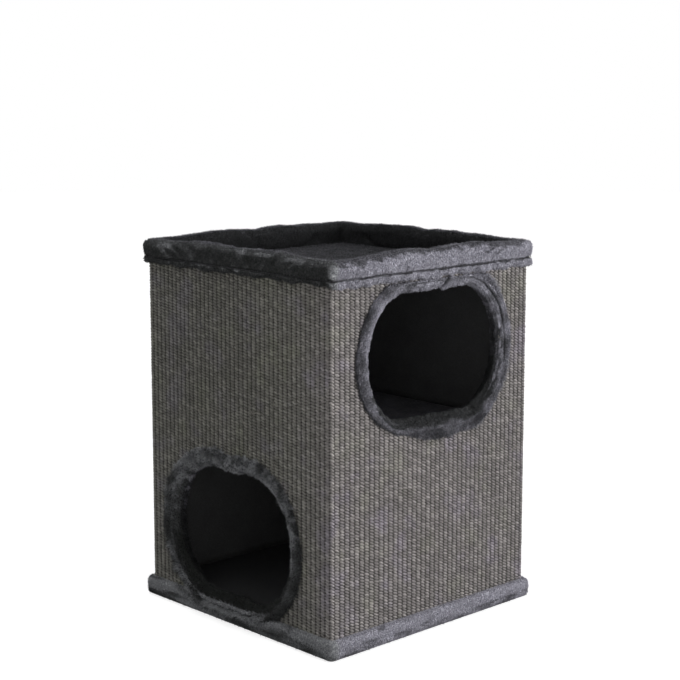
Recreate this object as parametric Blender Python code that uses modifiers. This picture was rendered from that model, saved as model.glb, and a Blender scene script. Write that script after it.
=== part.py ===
"""Square two-storey cat tower: a board box wrapped in a woven scratching mat, with plush doors, rim and base.

Metres, +Z up. The origin is the middle of the footprint, on the floor. The front, at -Y, holds the upper
door, and the left side, at -X, holds the lower door.
"""

import math
from dataclasses import dataclass

import bmesh
import bpy
from mathutils import Matrix, Vector

# The box
TOWER_HEIGHT = 0.600
BOX_SIDE = 0.436  # across the woven mat
BOARD = 0.010  # the walls, the shelf and the seat
MAT = 0.004
MAT_CORNER = 0.005  # outside radius where it turns a corner
PLUSH = 0.004  # backing and pile together
LINING = 0.003
CLEARANCE = 0.0003  # between pieces that touch

# The base
BASE_BOARD = 0.022
BASE_OVERHANG = 0.0095  # beyond the mat
BASE_CORNER = 0.012
BASE_ROUNDING = 0.008
BASE_HEM = 0.040  # how far the plush turns under the board

# The shelf between the caves and the seat in the top tray
SHELF_HEIGHT = 0.300  # to the top of its plush
TRAY_DEPTH = 0.040  # from the rim's top down to the seat's plush

# The padded rim round the tray
RIM_HEIGHT = 0.0455
RIM_OVERHANG = 0.0085  # beyond the mat
RIM_CORNER = 0.012
RIM_TOP_FOAM = 0.010
RIM_INNER_FOAM = 0.006
RIM_ROUNDING = 0.014
RIM_HEM = 0.0135  # from the rim's lower edge up to its sewn crease
CREASE_DEPTH = 0.0014
CREASE_WIDTH = 0.0030

# The doors: each has a flat head and sill between two half-ellipse ends
UPPER_DOOR_WIDTH = 0.280
UPPER_DOOR_END = 0.080  # how much of the width one round end takes
UPPER_DOOR_OFFSET = 0.0035  # to the right of the wall's middle, seen from outside
UPPER_DOOR_SILL = 0.0395  # above the shelf
UPPER_DOOR_HEAD = 0.0665  # below the rim's top
LOWER_DOOR_WIDTH = 0.268
LOWER_DOOR_END = 0.090
LOWER_DOOR_OFFSET = -0.011
LOWER_DOOR_SILL = 0.0125  # above the base
LOWER_DOOR_HEAD = 0.0393  # below the cloth under the shelf
DOOR_FOAM = 0.003
TRIM_WIDTH = 0.029  # the plush band outside, from the lip to its outer edge
TRIM_ROUNDING = 0.007
TRIM_HEM = 0.014  # the plush turned back inside, beyond the cut edge

# Countersunk wood screws
SCREW_RADIUS = 0.0020
SCREW_HEAD_RADIUS = 0.0040
SCREW_HEAD_DEPTH = 0.0026
SCREW_TIP = 0.004
WALL_SCREW_LENGTH = 0.038
BASE_SCREW_LENGTH = 0.055
CORNER_SCREW_INSET = 0.040  # from the walls' upper and lower ends
CORNER_SCREWS = 3  # up each corner
BASE_SCREW_INSET = 0.045  # from the walls' outer corners
SHELF_SCREW_INSET = 0.110  # from the walls' outer corners

# How finely round stretches are drawn
CORNER_STEPS = 4
DOOR_STEPS = 14
SCREW_STEPS = 8
SHARP_CORNER = 0.001
BOARD_EDGE = 0.0008
SMOOTH_ANGLE = math.radians(35)
CUTTER_REACH = 0.010  # how far a door's cutter stands out of the wall on either side
HOLE_REACH = 2 * PLUSH  # how far a screw's hole goes on past its head, so that it passes the plush

# Heights and half widths that follow from the sizes above
BASE_HALF = BOX_SIDE / 2 + BASE_OVERHANG
BASE_BOARD_BOTTOM = PLUSH + CLEARANCE
BASE_TOP = BASE_BOARD_BOTTOM + BASE_BOARD + CLEARANCE + PLUSH
MAT_HALF = BOX_SIDE / 2
WALL_HALF = MAT_HALF - MAT - CLEARANCE
ROOM_HALF = WALL_HALF - BOARD  # to the walls' inner faces
WALL_BOTTOM = BASE_TOP + CLEARANCE
WALL_TOP = TOWER_HEIGHT - PLUSH - RIM_TOP_FOAM - 2 * CLEARANCE
MAT_TURN = max(MAT_CORNER, MAT + SHARP_CORNER)
WALL_EDGE = max(BOARD_EDGE, MAT_TURN - MAT)  # so that the walls' corners sit inside the mat's turn
SEAT_HEIGHT = TOWER_HEIGHT - TRAY_DEPTH
RIM_HALF = BOX_SIDE / 2 + RIM_OVERHANG
RIM_BOTTOM = TOWER_HEIGHT - RIM_HEIGHT
RIM_INNER_HALF = ROOM_HALF - RIM_INNER_FOAM - PLUSH - 2 * CLEARANCE
DECK = PLUSH + BOARD + LINING + 2 * CLEARANCE  # plush, board and under-cloth of the shelf or the seat
SHELF_BOTTOM = SHELF_HEIGHT - DECK
SEAT_BOTTOM = SEAT_HEIGHT - DECK
WALL_DEPTH = MAT + BOARD + LINING + 2 * CLEARANCE  # mat, wall and lining together
DOOR_EDGE = PLUSH + DOOR_FOAM + 2 * CLEARANCE  # from a door's finished lip to the cut wall
TRIM_CROWN = PLUSH + DOOR_FOAM + 2 * CLEARANCE  # how far a door's band stands off the mat


@dataclass(frozen=True)
class Finish:
    """What one kind of material looks like."""

    name: str
    colour: tuple
    roughness: float
    metallic: float = 0.0


PLUSH_FINISH = Finish("plush", (0.075, 0.072, 0.085), 0.95)
MAT_FINISH = Finish("woven_sisal", (0.150, 0.138, 0.125), 0.90)
BOARD_FINISH = Finish("particle_board", (0.400, 0.290, 0.180), 0.80)
LINING_FINISH = Finish("lining_cloth", (0.016, 0.016, 0.018), 0.95)
FOAM_FINISH = Finish("foam", (0.560, 0.540, 0.480), 0.90)
STEEL_FINISH = Finish("zinc_steel", (0.550, 0.550, 0.560), 0.35, 1.0)


@dataclass(frozen=True)
class Door:
    """A door opening, with the frame of its wall: right, up and out, seen from outside."""

    name: str
    width: float
    end: float
    offset: float
    sill: float
    head: float
    wall: Matrix

    def ring(self, growth, out):
        """The finished opening's outline, grown by one distance and moved out of the mat by another."""
        flat = self.width / 2 - self.end
        middle = (self.head + self.sill) / 2
        half_height = (self.head - self.sill) / 2
        points = []
        for side, start in ((1, -math.pi / 2), (-1, math.pi / 2)):
            for step in range(DOOR_STEPS + 1):
                angle = start + math.pi * step / DOOR_STEPS
                across = side * flat + (self.end + growth) * math.cos(angle)
                up = (half_height + growth) * math.sin(angle)
                points.append(self.wall @ Vector((self.offset + across, middle + up, out)))
        return points


FRONT_WALL = Matrix(((1, 0, 0, 0), (0, 0, -1, -MAT_HALF), (0, 1, 0, 0), (0, 0, 0, 1)))
LEFT_WALL = Matrix(((0, 0, -1, -MAT_HALF), (-1, 0, 0, 0), (0, 1, 0, 0), (0, 0, 0, 1)))

UPPER_DOOR = Door(
    "upper_door",
    UPPER_DOOR_WIDTH,
    UPPER_DOOR_END,
    UPPER_DOOR_OFFSET,
    SHELF_HEIGHT + UPPER_DOOR_SILL,
    TOWER_HEIGHT - UPPER_DOOR_HEAD,
    FRONT_WALL,
)
LOWER_DOOR = Door(
    "lower_door",
    LOWER_DOOR_WIDTH,
    LOWER_DOOR_END,
    LOWER_DOOR_OFFSET,
    BASE_TOP + LOWER_DOOR_SILL,
    SHELF_BOTTOM - LOWER_DOOR_HEAD,
    LEFT_WALL,
)


def new_collection(name):
    """A collection under the scene's own."""
    collection = bpy.data.collections.new(name)
    bpy.context.scene.collection.children.link(collection)
    return collection


def clear_scene():
    """Removes every object that the file opened with."""
    for obj in list(bpy.data.objects):
        bpy.data.objects.remove(obj, do_unlink=True)


def dress(piece, finish):
    """Gives a piece its own material."""
    material = bpy.data.materials.new(f"{piece.name} {finish.name}")
    material.use_nodes = True
    shader = material.node_tree.nodes["Principled BSDF"]
    shader.inputs["Base Color"].default_value = (*finish.colour, 1.0)
    shader.inputs["Roughness"].default_value = finish.roughness
    shader.inputs["Metallic"].default_value = finish.metallic
    piece.data.materials.append(material)


def finish_mesh(shape, name):
    """A mesh object made from a bmesh and put in the tower's collection."""
    mesh = bpy.data.meshes.new(name)
    shape.to_mesh(mesh)
    shape.free()
    mesh.shade_smooth()
    mesh.set_sharp_from_angle(angle=SMOOTH_ANGLE)
    piece = bpy.data.objects.new(name, mesh)
    tower.objects.link(piece)
    return piece


def as_cutter(piece):
    """Moves a piece to the cutters, where it is drawn as wire and never rendered."""
    tower.objects.unlink(piece)
    cutters.objects.link(piece)
    piece.hide_render = True
    piece.display_type = "WIRE"
    return piece


def cut(piece, cutter):
    """Takes a cutter's shape out of a piece."""
    modifier = piece.modifiers.new(f"cut by {cutter.name}", "BOOLEAN")
    modifier.operation = "DIFFERENCE"
    modifier.solver = "EXACT"
    modifier.object = cutter


def drill(piece, holes):
    """Takes every screw hole of a collection out of a piece."""
    modifier = piece.modifiers.new("screw holes", "BOOLEAN")
    modifier.operation = "DIFFERENCE"
    modifier.solver = "EXACT"
    modifier.operand_type = "COLLECTION"
    modifier.collection = holes


def thicken(piece, thickness):
    """Gives an open skin its thickness, inwards from the side that shows."""
    modifier = piece.modifiers.new("thickness", "SOLIDIFY")
    modifier.thickness = thickness
    modifier.offset = -1
    modifier.use_even_offset = True


def rounded(corners, steps):
    """The points of a run through corners (u, v, radius), each corner replaced by an arc of its radius."""
    points = []
    for index, (u, v, radius) in enumerate(corners):
        corner = Vector((u, v))
        if radius == 0:
            points.append(corner)
            continue
        before = (Vector(corners[index - 1][:2]) - corner).normalized()
        after = (Vector(corners[(index + 1) % len(corners)][:2]) - corner).normalized()
        half_angle = before.angle(after) / 2
        centre = corner + (before + after).normalized() * radius / math.sin(half_angle)
        reach = radius / math.tan(half_angle)
        start = corner + before * reach - centre
        end = corner + after * reach - centre
        first = math.atan2(start.y, start.x)
        sweep = (math.atan2(end.y, end.x) - first + math.pi) % (2 * math.pi) - math.pi
        for step in range(steps + 1):
            angle = first + sweep * step / steps
            points.append(centre + radius * Vector((math.cos(angle), math.sin(angle))))
    return points


def square_ring(half, corner, height):
    """A level square with round corners, counter-clockwise from above."""
    radius = max(corner, SHARP_CORNER)
    plan = rounded([(half, -half, radius), (half, half, radius), (-half, half, radius), (-half, -half, radius)],
                   CORNER_STEPS)
    return [Vector((point.x, point.y, height)) for point in plan]


def square_rings(section, half, corner):
    """Level rings through a section's points (half width, height), with corners that tighten inwards."""
    return [square_ring(point.x, corner - (half - point.x), point.y) for point in section]


def loft(name, rings, joined=False, first_cap=False, last_cap=False):
    """A skin through rings of equally many points, open, capped, or joined end to end."""
    shape = bmesh.new()
    loops = [[shape.verts.new(point) for point in ring] for ring in rings]
    following = loops[1:] + loops[:1] if joined else loops[1:]
    for loop, after in zip(loops, following):
        for index in range(len(loop)):
            shape.faces.new((loop[index - 1], loop[index], after[index], after[index - 1]))
    if first_cap:
        shape.faces.new(reversed(loops[0]))
    if last_cap:
        shape.faces.new(loops[-1])
    return finish_mesh(shape, name)


def block(name, low, high, edge=0.0):
    """A box between two corners, with its edges softened by a bevel."""
    size = Vector(high) - Vector(low)
    middle = (Vector(high) + Vector(low)) / 2
    shape = bmesh.new()
    bmesh.ops.create_cube(shape, size=1.0, matrix=Matrix.Translation(middle) @ Matrix.Diagonal((*size, 1.0)))
    piece = finish_mesh(shape, name)
    if edge:
        bevel = piece.modifiers.new("soft edges", "BEVEL")
        bevel.width = edge
        bevel.segments = 1
    return piece


def square_block(name, half, bottom, top, corner, edge):
    """A square slab with round upright corners and softened upper and lower edges."""
    section = [Vector((half - edge, bottom)), Vector((half, bottom + edge))]
    section += [Vector((half, top - edge)), Vector((half - edge, top))]
    return loft(name, square_rings(section, half, corner), first_cap=True, last_cap=True)


def make_base():
    """The base board in its plush cover, which turns under the board as a hem."""
    rounding = min(BASE_ROUNDING, BASE_TOP / 2)
    section = [Vector((BASE_HALF - BASE_HEM, 0))]
    section += rounded(
        [(0, 0, 0), (BASE_HALF, 0, rounding), (BASE_HALF, BASE_TOP, rounding), (0, BASE_TOP, 0)], CORNER_STEPS
    )[1:-1]
    cover = loft("base_cover", square_rings(section, BASE_HALF, BASE_CORNER), last_cap=True)
    thicken(cover, PLUSH)
    dress(cover, PLUSH_FINISH)
    drill(cover, screw_holes)

    inside = PLUSH + CLEARANCE
    board = square_block(
        "base_board",
        BASE_HALF - inside,
        BASE_BOARD_BOTTOM,
        BASE_BOARD_BOTTOM + BASE_BOARD,
        BASE_CORNER - inside,
        max(rounding - PLUSH, BOARD_EDGE),
    )
    dress(board, BOARD_FINISH)
    drill(board, screw_holes)


def make_walls():
    """Four wall boards: the side ones run the full depth, and the front and back ones fit between them."""
    between = ROOM_HALF - CLEARANCE
    walls = (
        ("front_wall", (-between, -WALL_HALF), (between, -ROOM_HALF), UPPER_DOOR),
        ("back_wall", (-between, ROOM_HALF), (between, WALL_HALF), None),
        ("left_wall", (-WALL_HALF, -WALL_HALF), (-ROOM_HALF, WALL_HALF), LOWER_DOOR),
        ("right_wall", (ROOM_HALF, -WALL_HALF), (WALL_HALF, WALL_HALF), None),
    )
    for name, low, high, door in walls:
        wall = block(name, (*low, WALL_BOTTOM), (*high, WALL_TOP), WALL_EDGE)
        dress(wall, BOARD_FINISH)
        if door:
            cut(wall, door_cutters[door.name])
        drill(wall, screw_holes)


def make_mat():
    """One length of woven mat round the four walls, its ends meeting at a seam on the back."""
    seam = Vector((MAT_HALF / 2, MAT_HALF))
    half_seam = Vector((CLEARANCE, 0))
    ring = square_ring(MAT_HALF, MAT_TURN, WALL_BOTTOM)
    back_left = 2 * (CORNER_STEPS + 1)
    plan = ring[back_left:] + ring[:back_left]
    path = [(seam - half_seam).to_3d(), *plan, (seam + half_seam).to_3d()]
    shape = bmesh.new()
    lower = [shape.verts.new((point.x, point.y, WALL_BOTTOM)) for point in path]
    upper = [shape.verts.new((point.x, point.y, WALL_TOP)) for point in path]
    for index in range(1, len(path)):
        shape.faces.new((lower[index - 1], lower[index], upper[index], upper[index - 1]))
    mat = finish_mesh(shape, "sisal_mat")
    thicken(mat, MAT)
    dress(mat, MAT_FINISH)
    for cutter in door_cutters.values():
        cut(mat, cutter)


def make_deck(name, height):
    """A board across the tower with plush on top and cloth beneath: the shelf or the seat."""
    half = ROOM_HALF - CLEARANCE
    board_top = height - PLUSH - CLEARANCE
    cloth_top = board_top - BOARD - CLEARANCE
    layers = (
        (f"{name}_cover", height - PLUSH, height, PLUSH_FINISH),
        (f"{name}_board", board_top - BOARD, board_top, BOARD_FINISH),
        (f"{name}_under_cloth", cloth_top - LINING, cloth_top, LINING_FINISH),
    )
    for layer, bottom, top, finish in layers:
        piece = block(layer, (-half, -half, bottom), (half, half, top), BOARD_EDGE)
        dress(piece, finish)
        drill(piece, screw_holes)


def make_lining(name, bottom, top, door):
    """Dark cloth round the four inner faces of one cave."""
    half = ROOM_HALF - CLEARANCE
    corner = LINING + SHARP_CORNER
    lining = loft(name, [square_ring(half, corner, bottom + CLEARANCE), square_ring(half, corner, top - CLEARANCE)])
    thicken(lining, LINING)
    dress(lining, LINING_FINISH)
    cut(lining, door_cutters[door.name])


def make_rim():
    """Foam over the walls' upper edges, and the plush sewn round it with a crease above its hem."""
    rounding = min(RIM_ROUNDING, (RIM_HALF - RIM_INNER_HALF) / 2 - CLEARANCE)
    inner_rounding = max(rounding - PLUSH, SHARP_CORNER)
    foam_rounding = max(rounding - PLUSH - CLEARANCE, SHARP_CORNER)
    hem_rounding = min(PLUSH, RIM_OVERHANG / 2)
    crease = RIM_BOTTOM + RIM_HEM
    on_mat = MAT_HALF + CLEARANCE
    on_seat = SEAT_HEIGHT + CLEARANCE
    outside = [
        (on_mat, RIM_BOTTOM, 0),
        (RIM_HALF, RIM_BOTTOM, hem_rounding),
        (RIM_HALF, crease - CREASE_WIDTH / 2, 0),
        (RIM_HALF - CREASE_DEPTH, crease, 0),
        (RIM_HALF, crease + CREASE_WIDTH / 2, 0),
        (RIM_HALF, TOWER_HEIGHT, rounding),
        (RIM_INNER_HALF, TOWER_HEIGHT, rounding),
        (RIM_INNER_HALF, on_seat, 0),
    ]
    inside = [
        (RIM_INNER_HALF + PLUSH, on_seat, 0),
        (RIM_INNER_HALF + PLUSH, TOWER_HEIGHT - PLUSH, inner_rounding),
        (RIM_HALF - PLUSH, TOWER_HEIGHT - PLUSH, inner_rounding),
        (RIM_HALF - PLUSH, RIM_BOTTOM + PLUSH, 0),
        (on_mat, RIM_BOTTOM + PLUSH, 0),
    ]
    section = rounded(outside + inside, CORNER_STEPS)
    cover = loft("rim_cover", square_rings(section, RIM_HALF, RIM_CORNER), joined=True)
    dress(cover, PLUSH_FINISH)

    within = PLUSH + CLEARANCE
    foam = [
        (RIM_HALF - within, RIM_BOTTOM + within, 0),
        (RIM_HALF - within, TOWER_HEIGHT - within, foam_rounding),
        (RIM_INNER_HALF + within, TOWER_HEIGHT - within, foam_rounding),
        (RIM_INNER_HALF + within, on_seat, 0),
        (ROOM_HALF - CLEARANCE, on_seat, 0),
        (ROOM_HALF - CLEARANCE, WALL_TOP + CLEARANCE, 0),
        (on_mat, WALL_TOP + CLEARANCE, 0),
        (on_mat, RIM_BOTTOM + within, 0),
    ]
    section = rounded(foam, CORNER_STEPS)
    padding = loft("rim_padding", square_rings(section, RIM_HALF, RIM_CORNER), joined=True)
    dress(padding, FOAM_FINISH)


def make_door_cutter(door):
    """The shape of the hole that a door needs through mat, wall and lining."""
    rings = [door.ring(DOOR_EDGE, -WALL_DEPTH - CUTTER_REACH), door.ring(DOOR_EDGE, CUTTER_REACH)]
    return as_cutter(loft(f"{door.name}_cutter", rings, first_cap=True, last_cap=True))


def make_trim(door, stops):
    """The plush that wraps a door's cut edge and the foam under it, both cut off where they meet the stops."""
    rounding = min(TRIM_ROUNDING, TRIM_CROWN - SHARP_CORNER)
    inner_rounding = max(rounding - PLUSH, SHARP_CORNER)
    foam_rounding = max(rounding - PLUSH - CLEARANCE, SHARP_CORNER)
    back = -WALL_DEPTH - CLEARANCE
    plush = [
        (TRIM_WIDTH, CLEARANCE, 0),
        (TRIM_WIDTH, TRIM_CROWN, rounding),
        (0, TRIM_CROWN, rounding),
        (0, back - PLUSH, PLUSH),
        (DOOR_EDGE + TRIM_HEM, back - PLUSH, 0),
        (DOOR_EDGE + TRIM_HEM, back, 0),
        (PLUSH, back, 0),
        (PLUSH, TRIM_CROWN - PLUSH, inner_rounding),
        (TRIM_WIDTH - PLUSH, TRIM_CROWN - PLUSH, inner_rounding),
        (TRIM_WIDTH - PLUSH, CLEARANCE, 0),
    ]
    within = PLUSH + CLEARANCE
    foam = [
        (TRIM_WIDTH - within, CLEARANCE, 0),
        (TRIM_WIDTH - within, TRIM_CROWN - within, foam_rounding),
        (within, TRIM_CROWN - within, foam_rounding),
        (within, -WALL_DEPTH, 0),
        (DOOR_EDGE - CLEARANCE, -WALL_DEPTH, 0),
        (DOOR_EDGE - CLEARANCE, CLEARANCE, 0),
    ]
    layers = (("trim", plush, PLUSH_FINISH), ("padding", foam, FOAM_FINISH))
    for layer, corners, finish in layers:
        section = rounded(corners, CORNER_STEPS)
        rings = [door.ring(point.x, point.y) for point in section]
        piece = loft(f"{door.name}_{layer}", rings, joined=True)
        dress(piece, finish)
        for stop in stops:
            cut(piece, stop)


def upper_stops():
    """What the upper door's trim meets: the rim outside, and the seat's under-cloth inside."""
    wide = BOX_SIDE
    rim = block(
        "rim_stop",
        (-wide, -MAT_HALF - wide / 2, RIM_BOTTOM - CLEARANCE),
        (wide, -MAT_HALF + CLEARANCE / 2, TOWER_HEIGHT),
    )
    seat = block(
        "seat_stop",
        (-wide, -ROOM_HALF, SEAT_BOTTOM - CLEARANCE),
        (wide, -ROOM_HALF + wide / 2, TOWER_HEIGHT),
    )
    return [as_cutter(rim), as_cutter(seat)]


def lower_stops():
    """What the lower door's trim meets: the base under it."""
    wide = BOX_SIDE
    base = block("base_stop", (-wide, -wide, -BASE_TOP), (0, wide, BASE_TOP + CLEARANCE))
    return [as_cutter(base)]


def turned(name, profile):
    """A solid turned round Z from points (radius, height) that run down its outer side."""
    shape = bmesh.new()
    points = [shape.verts.new((radius, 0, height)) for radius, height in profile]
    for above, below in zip(points, points[1:]):
        shape.edges.new((above, below))
    piece = finish_mesh(shape, name)
    spin = piece.modifiers.new("turned", "SCREW")
    spin.steps = SCREW_STEPS
    spin.render_steps = SCREW_STEPS
    spin.use_merge_vertices = True
    spin.merge_threshold = 0.00005
    return piece


def screw_profile(length, growth=0.0):
    """A countersunk screw from its head's rim at height 0 down to its tip, grown on all sides for a hole."""
    shank = SCREW_RADIUS + growth
    return [
        (SCREW_HEAD_RADIUS + growth, 0),
        (shank, -SCREW_HEAD_DEPTH - growth),
        (shank, -length + SCREW_TIP),
        (0, -length - growth),
    ]


def make_screw(name, place, length):
    """A screw and the hole that it needs, both put where its head sits and pointing into the wood."""
    screw = turned(name, [(0, 0), *screw_profile(length)])
    screw.matrix_world = place
    dress(screw, STEEL_FINISH)
    bore = [(0, HOLE_REACH), (SCREW_HEAD_RADIUS + CLEARANCE, HOLE_REACH)]
    hole = as_cutter(turned(f"{name}_hole", bore + screw_profile(length, CLEARANCE)))
    cutters.objects.unlink(hole)
    screw_holes.objects.link(hole)
    hole.matrix_world = place


def pointing(direction, at):
    """The place of a screw that points along a direction with its head at a point."""
    turn = Vector((0, 0, -1)).rotation_difference(Vector(direction))
    return Matrix.Translation(at) @ turn.to_matrix().to_4x4()


def make_screws():
    """Screws up through the base into the walls, through the corners, and into the shelf and the seat."""
    in_wall = WALL_HALF - BOARD / 2
    along = WALL_HALF - BASE_SCREW_INSET
    under = BASE_BOARD_BOTTOM
    spots = [(x, y) for x in (-in_wall, in_wall) for y in (-along, along)]
    spots += [(x, y) for y in (-in_wall, in_wall) for x in (-along, along)]
    for number, (x, y) in enumerate(spots, 1):
        make_screw(f"base_screw_{number}", pointing((0, 0, 1), (x, y, under)), BASE_SCREW_LENGTH)

    lowest = WALL_BOTTOM + CORNER_SCREW_INSET
    highest = WALL_TOP - CORNER_SCREW_INSET
    rise = (highest - lowest) / (CORNER_SCREWS - 1)
    corner_spots = [(y, lowest + rise * row) for y in (-in_wall, in_wall) for row in range(CORNER_SCREWS)]
    shelf_level = SHELF_HEIGHT - PLUSH - CLEARANCE - BOARD / 2
    seat_level = SEAT_HEIGHT - PLUSH - CLEARANCE - BOARD / 2
    reach = WALL_HALF - SHELF_SCREW_INSET
    groups = (
        ("corner_screw", corner_spots),
        ("shelf_screw", [(y, shelf_level) for y in (-reach, reach)]),
        ("seat_screw", [(y, seat_level) for y in (-reach, reach)]),
    )
    for name, places in groups:
        number = 0
        for side in (-1, 1):
            for y, height in places:
                number += 1
                place = pointing((-side, 0, 0), (side * WALL_HALF, y, height))
                make_screw(f"{name}_{number}", place, WALL_SCREW_LENGTH)


clear_scene()
tower = new_collection("cat_tower")
cutters = new_collection("cutters")
screw_holes = new_collection("screw_holes")
cutters.hide_render = True
screw_holes.hide_render = True
door_cutters = {door.name: make_door_cutter(door) for door in (UPPER_DOOR, LOWER_DOOR)}
make_screws()
make_base()
make_walls()
make_mat()
make_deck("shelf", SHELF_HEIGHT)
make_deck("seat", SEAT_HEIGHT)
make_lining("lower_cave_lining", BASE_TOP, SHELF_BOTTOM, LOWER_DOOR)
make_lining("upper_cave_lining", SHELF_HEIGHT, SEAT_BOTTOM, UPPER_DOOR)
make_rim()
make_trim(UPPER_DOOR, upper_stops())
make_trim(LOWER_DOOR, lower_stops())
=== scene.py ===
import logging
import math
from collections.abc import Callable, Mapping, Sequence
from dataclasses import dataclass, field
from enum import Enum

import bmesh
import bpy
import numpy as np
from mathutils import Matrix, Vector, geometry, noise


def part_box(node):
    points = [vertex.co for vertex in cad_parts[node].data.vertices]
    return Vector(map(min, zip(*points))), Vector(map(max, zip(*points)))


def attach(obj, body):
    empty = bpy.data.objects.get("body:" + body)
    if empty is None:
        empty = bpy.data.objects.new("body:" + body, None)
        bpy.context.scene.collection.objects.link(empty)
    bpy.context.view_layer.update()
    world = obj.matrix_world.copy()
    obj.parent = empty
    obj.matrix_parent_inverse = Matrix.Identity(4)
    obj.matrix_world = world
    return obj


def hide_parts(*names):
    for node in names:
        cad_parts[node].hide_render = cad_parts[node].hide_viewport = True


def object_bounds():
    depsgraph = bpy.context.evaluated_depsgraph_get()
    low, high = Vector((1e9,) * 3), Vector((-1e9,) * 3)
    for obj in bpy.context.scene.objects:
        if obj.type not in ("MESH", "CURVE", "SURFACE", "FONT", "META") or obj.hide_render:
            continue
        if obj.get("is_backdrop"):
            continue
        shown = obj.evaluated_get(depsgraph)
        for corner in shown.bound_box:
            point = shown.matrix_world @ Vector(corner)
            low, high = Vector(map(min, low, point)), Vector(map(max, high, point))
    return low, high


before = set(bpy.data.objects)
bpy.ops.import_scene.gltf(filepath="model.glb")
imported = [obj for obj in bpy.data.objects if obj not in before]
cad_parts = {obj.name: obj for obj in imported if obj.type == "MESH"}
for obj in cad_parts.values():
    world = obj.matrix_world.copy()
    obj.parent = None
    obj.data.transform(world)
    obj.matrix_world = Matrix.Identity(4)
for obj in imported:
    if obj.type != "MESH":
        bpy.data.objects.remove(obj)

log = logging.getLogger("cat_tower")

Colour = tuple[float, float, float]
Points = np.ndarray
Piece = bpy.types.Object
Mesh = bpy.types.Mesh
Material = bpy.types.Material

HAIR_GAP = 0.0003
MAT_HALF = 0.218
CLOTH_HALF = 0.2034
PLUSH_THICKNESS = 0.004
HOLE_GROWTH = 0.0076
SIDE_LINE = -0.205
WHITE = (1.0, 1.0, 1.0)
LEVEL = np.array((1.0, 1.0, 0.0))


# ----- node graphs


def _operator(operation: str, swapped: bool = False) -> Callable[["Wire", "Wire | float"], "Wire"]:
    """An operator of Wire that adds one Math node, with the other value first where it is swapped."""

    def combine(self: "Wire", other: "Wire | float") -> "Wire":
        """One Math node over this value and another."""
        return self.graph.maths(operation, *((other, self) if swapped else (self, other)))

    return combine


@dataclass(frozen=True)
class Wire:
    """An output socket that Python's operators extend with Math nodes."""

    graph: "NodeGraph"
    socket: bpy.types.NodeSocket

    __add__, __radd__ = _operator("ADD"), _operator("ADD", swapped=True)
    __sub__, __rsub__ = _operator("SUBTRACT"), _operator("SUBTRACT", swapped=True)
    __mul__, __rmul__ = _operator("MULTIPLY"), _operator("MULTIPLY", swapped=True)
    __truediv__, __lt__ = _operator("DIVIDE"), _operator("LESS_THAN")

    def whole(self) -> "Wire":
        """This value without its fraction."""
        return self.graph.maths("FLOOR", self)

    def fraction(self) -> "Wire":
        """The fraction of this value."""
        return self.graph.maths("FRACT", self)

    def between(self, low: float, high: float) -> "Wire":
        """A smooth step from 0 to 1 while this value goes from low to high."""
        steps = {"interpolation_type": "SMOOTHSTEP"}
        return self.graph.result("ShaderNodeMapRange", 0, steps, Value=self, From_Min=low, From_Max=high)


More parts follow.
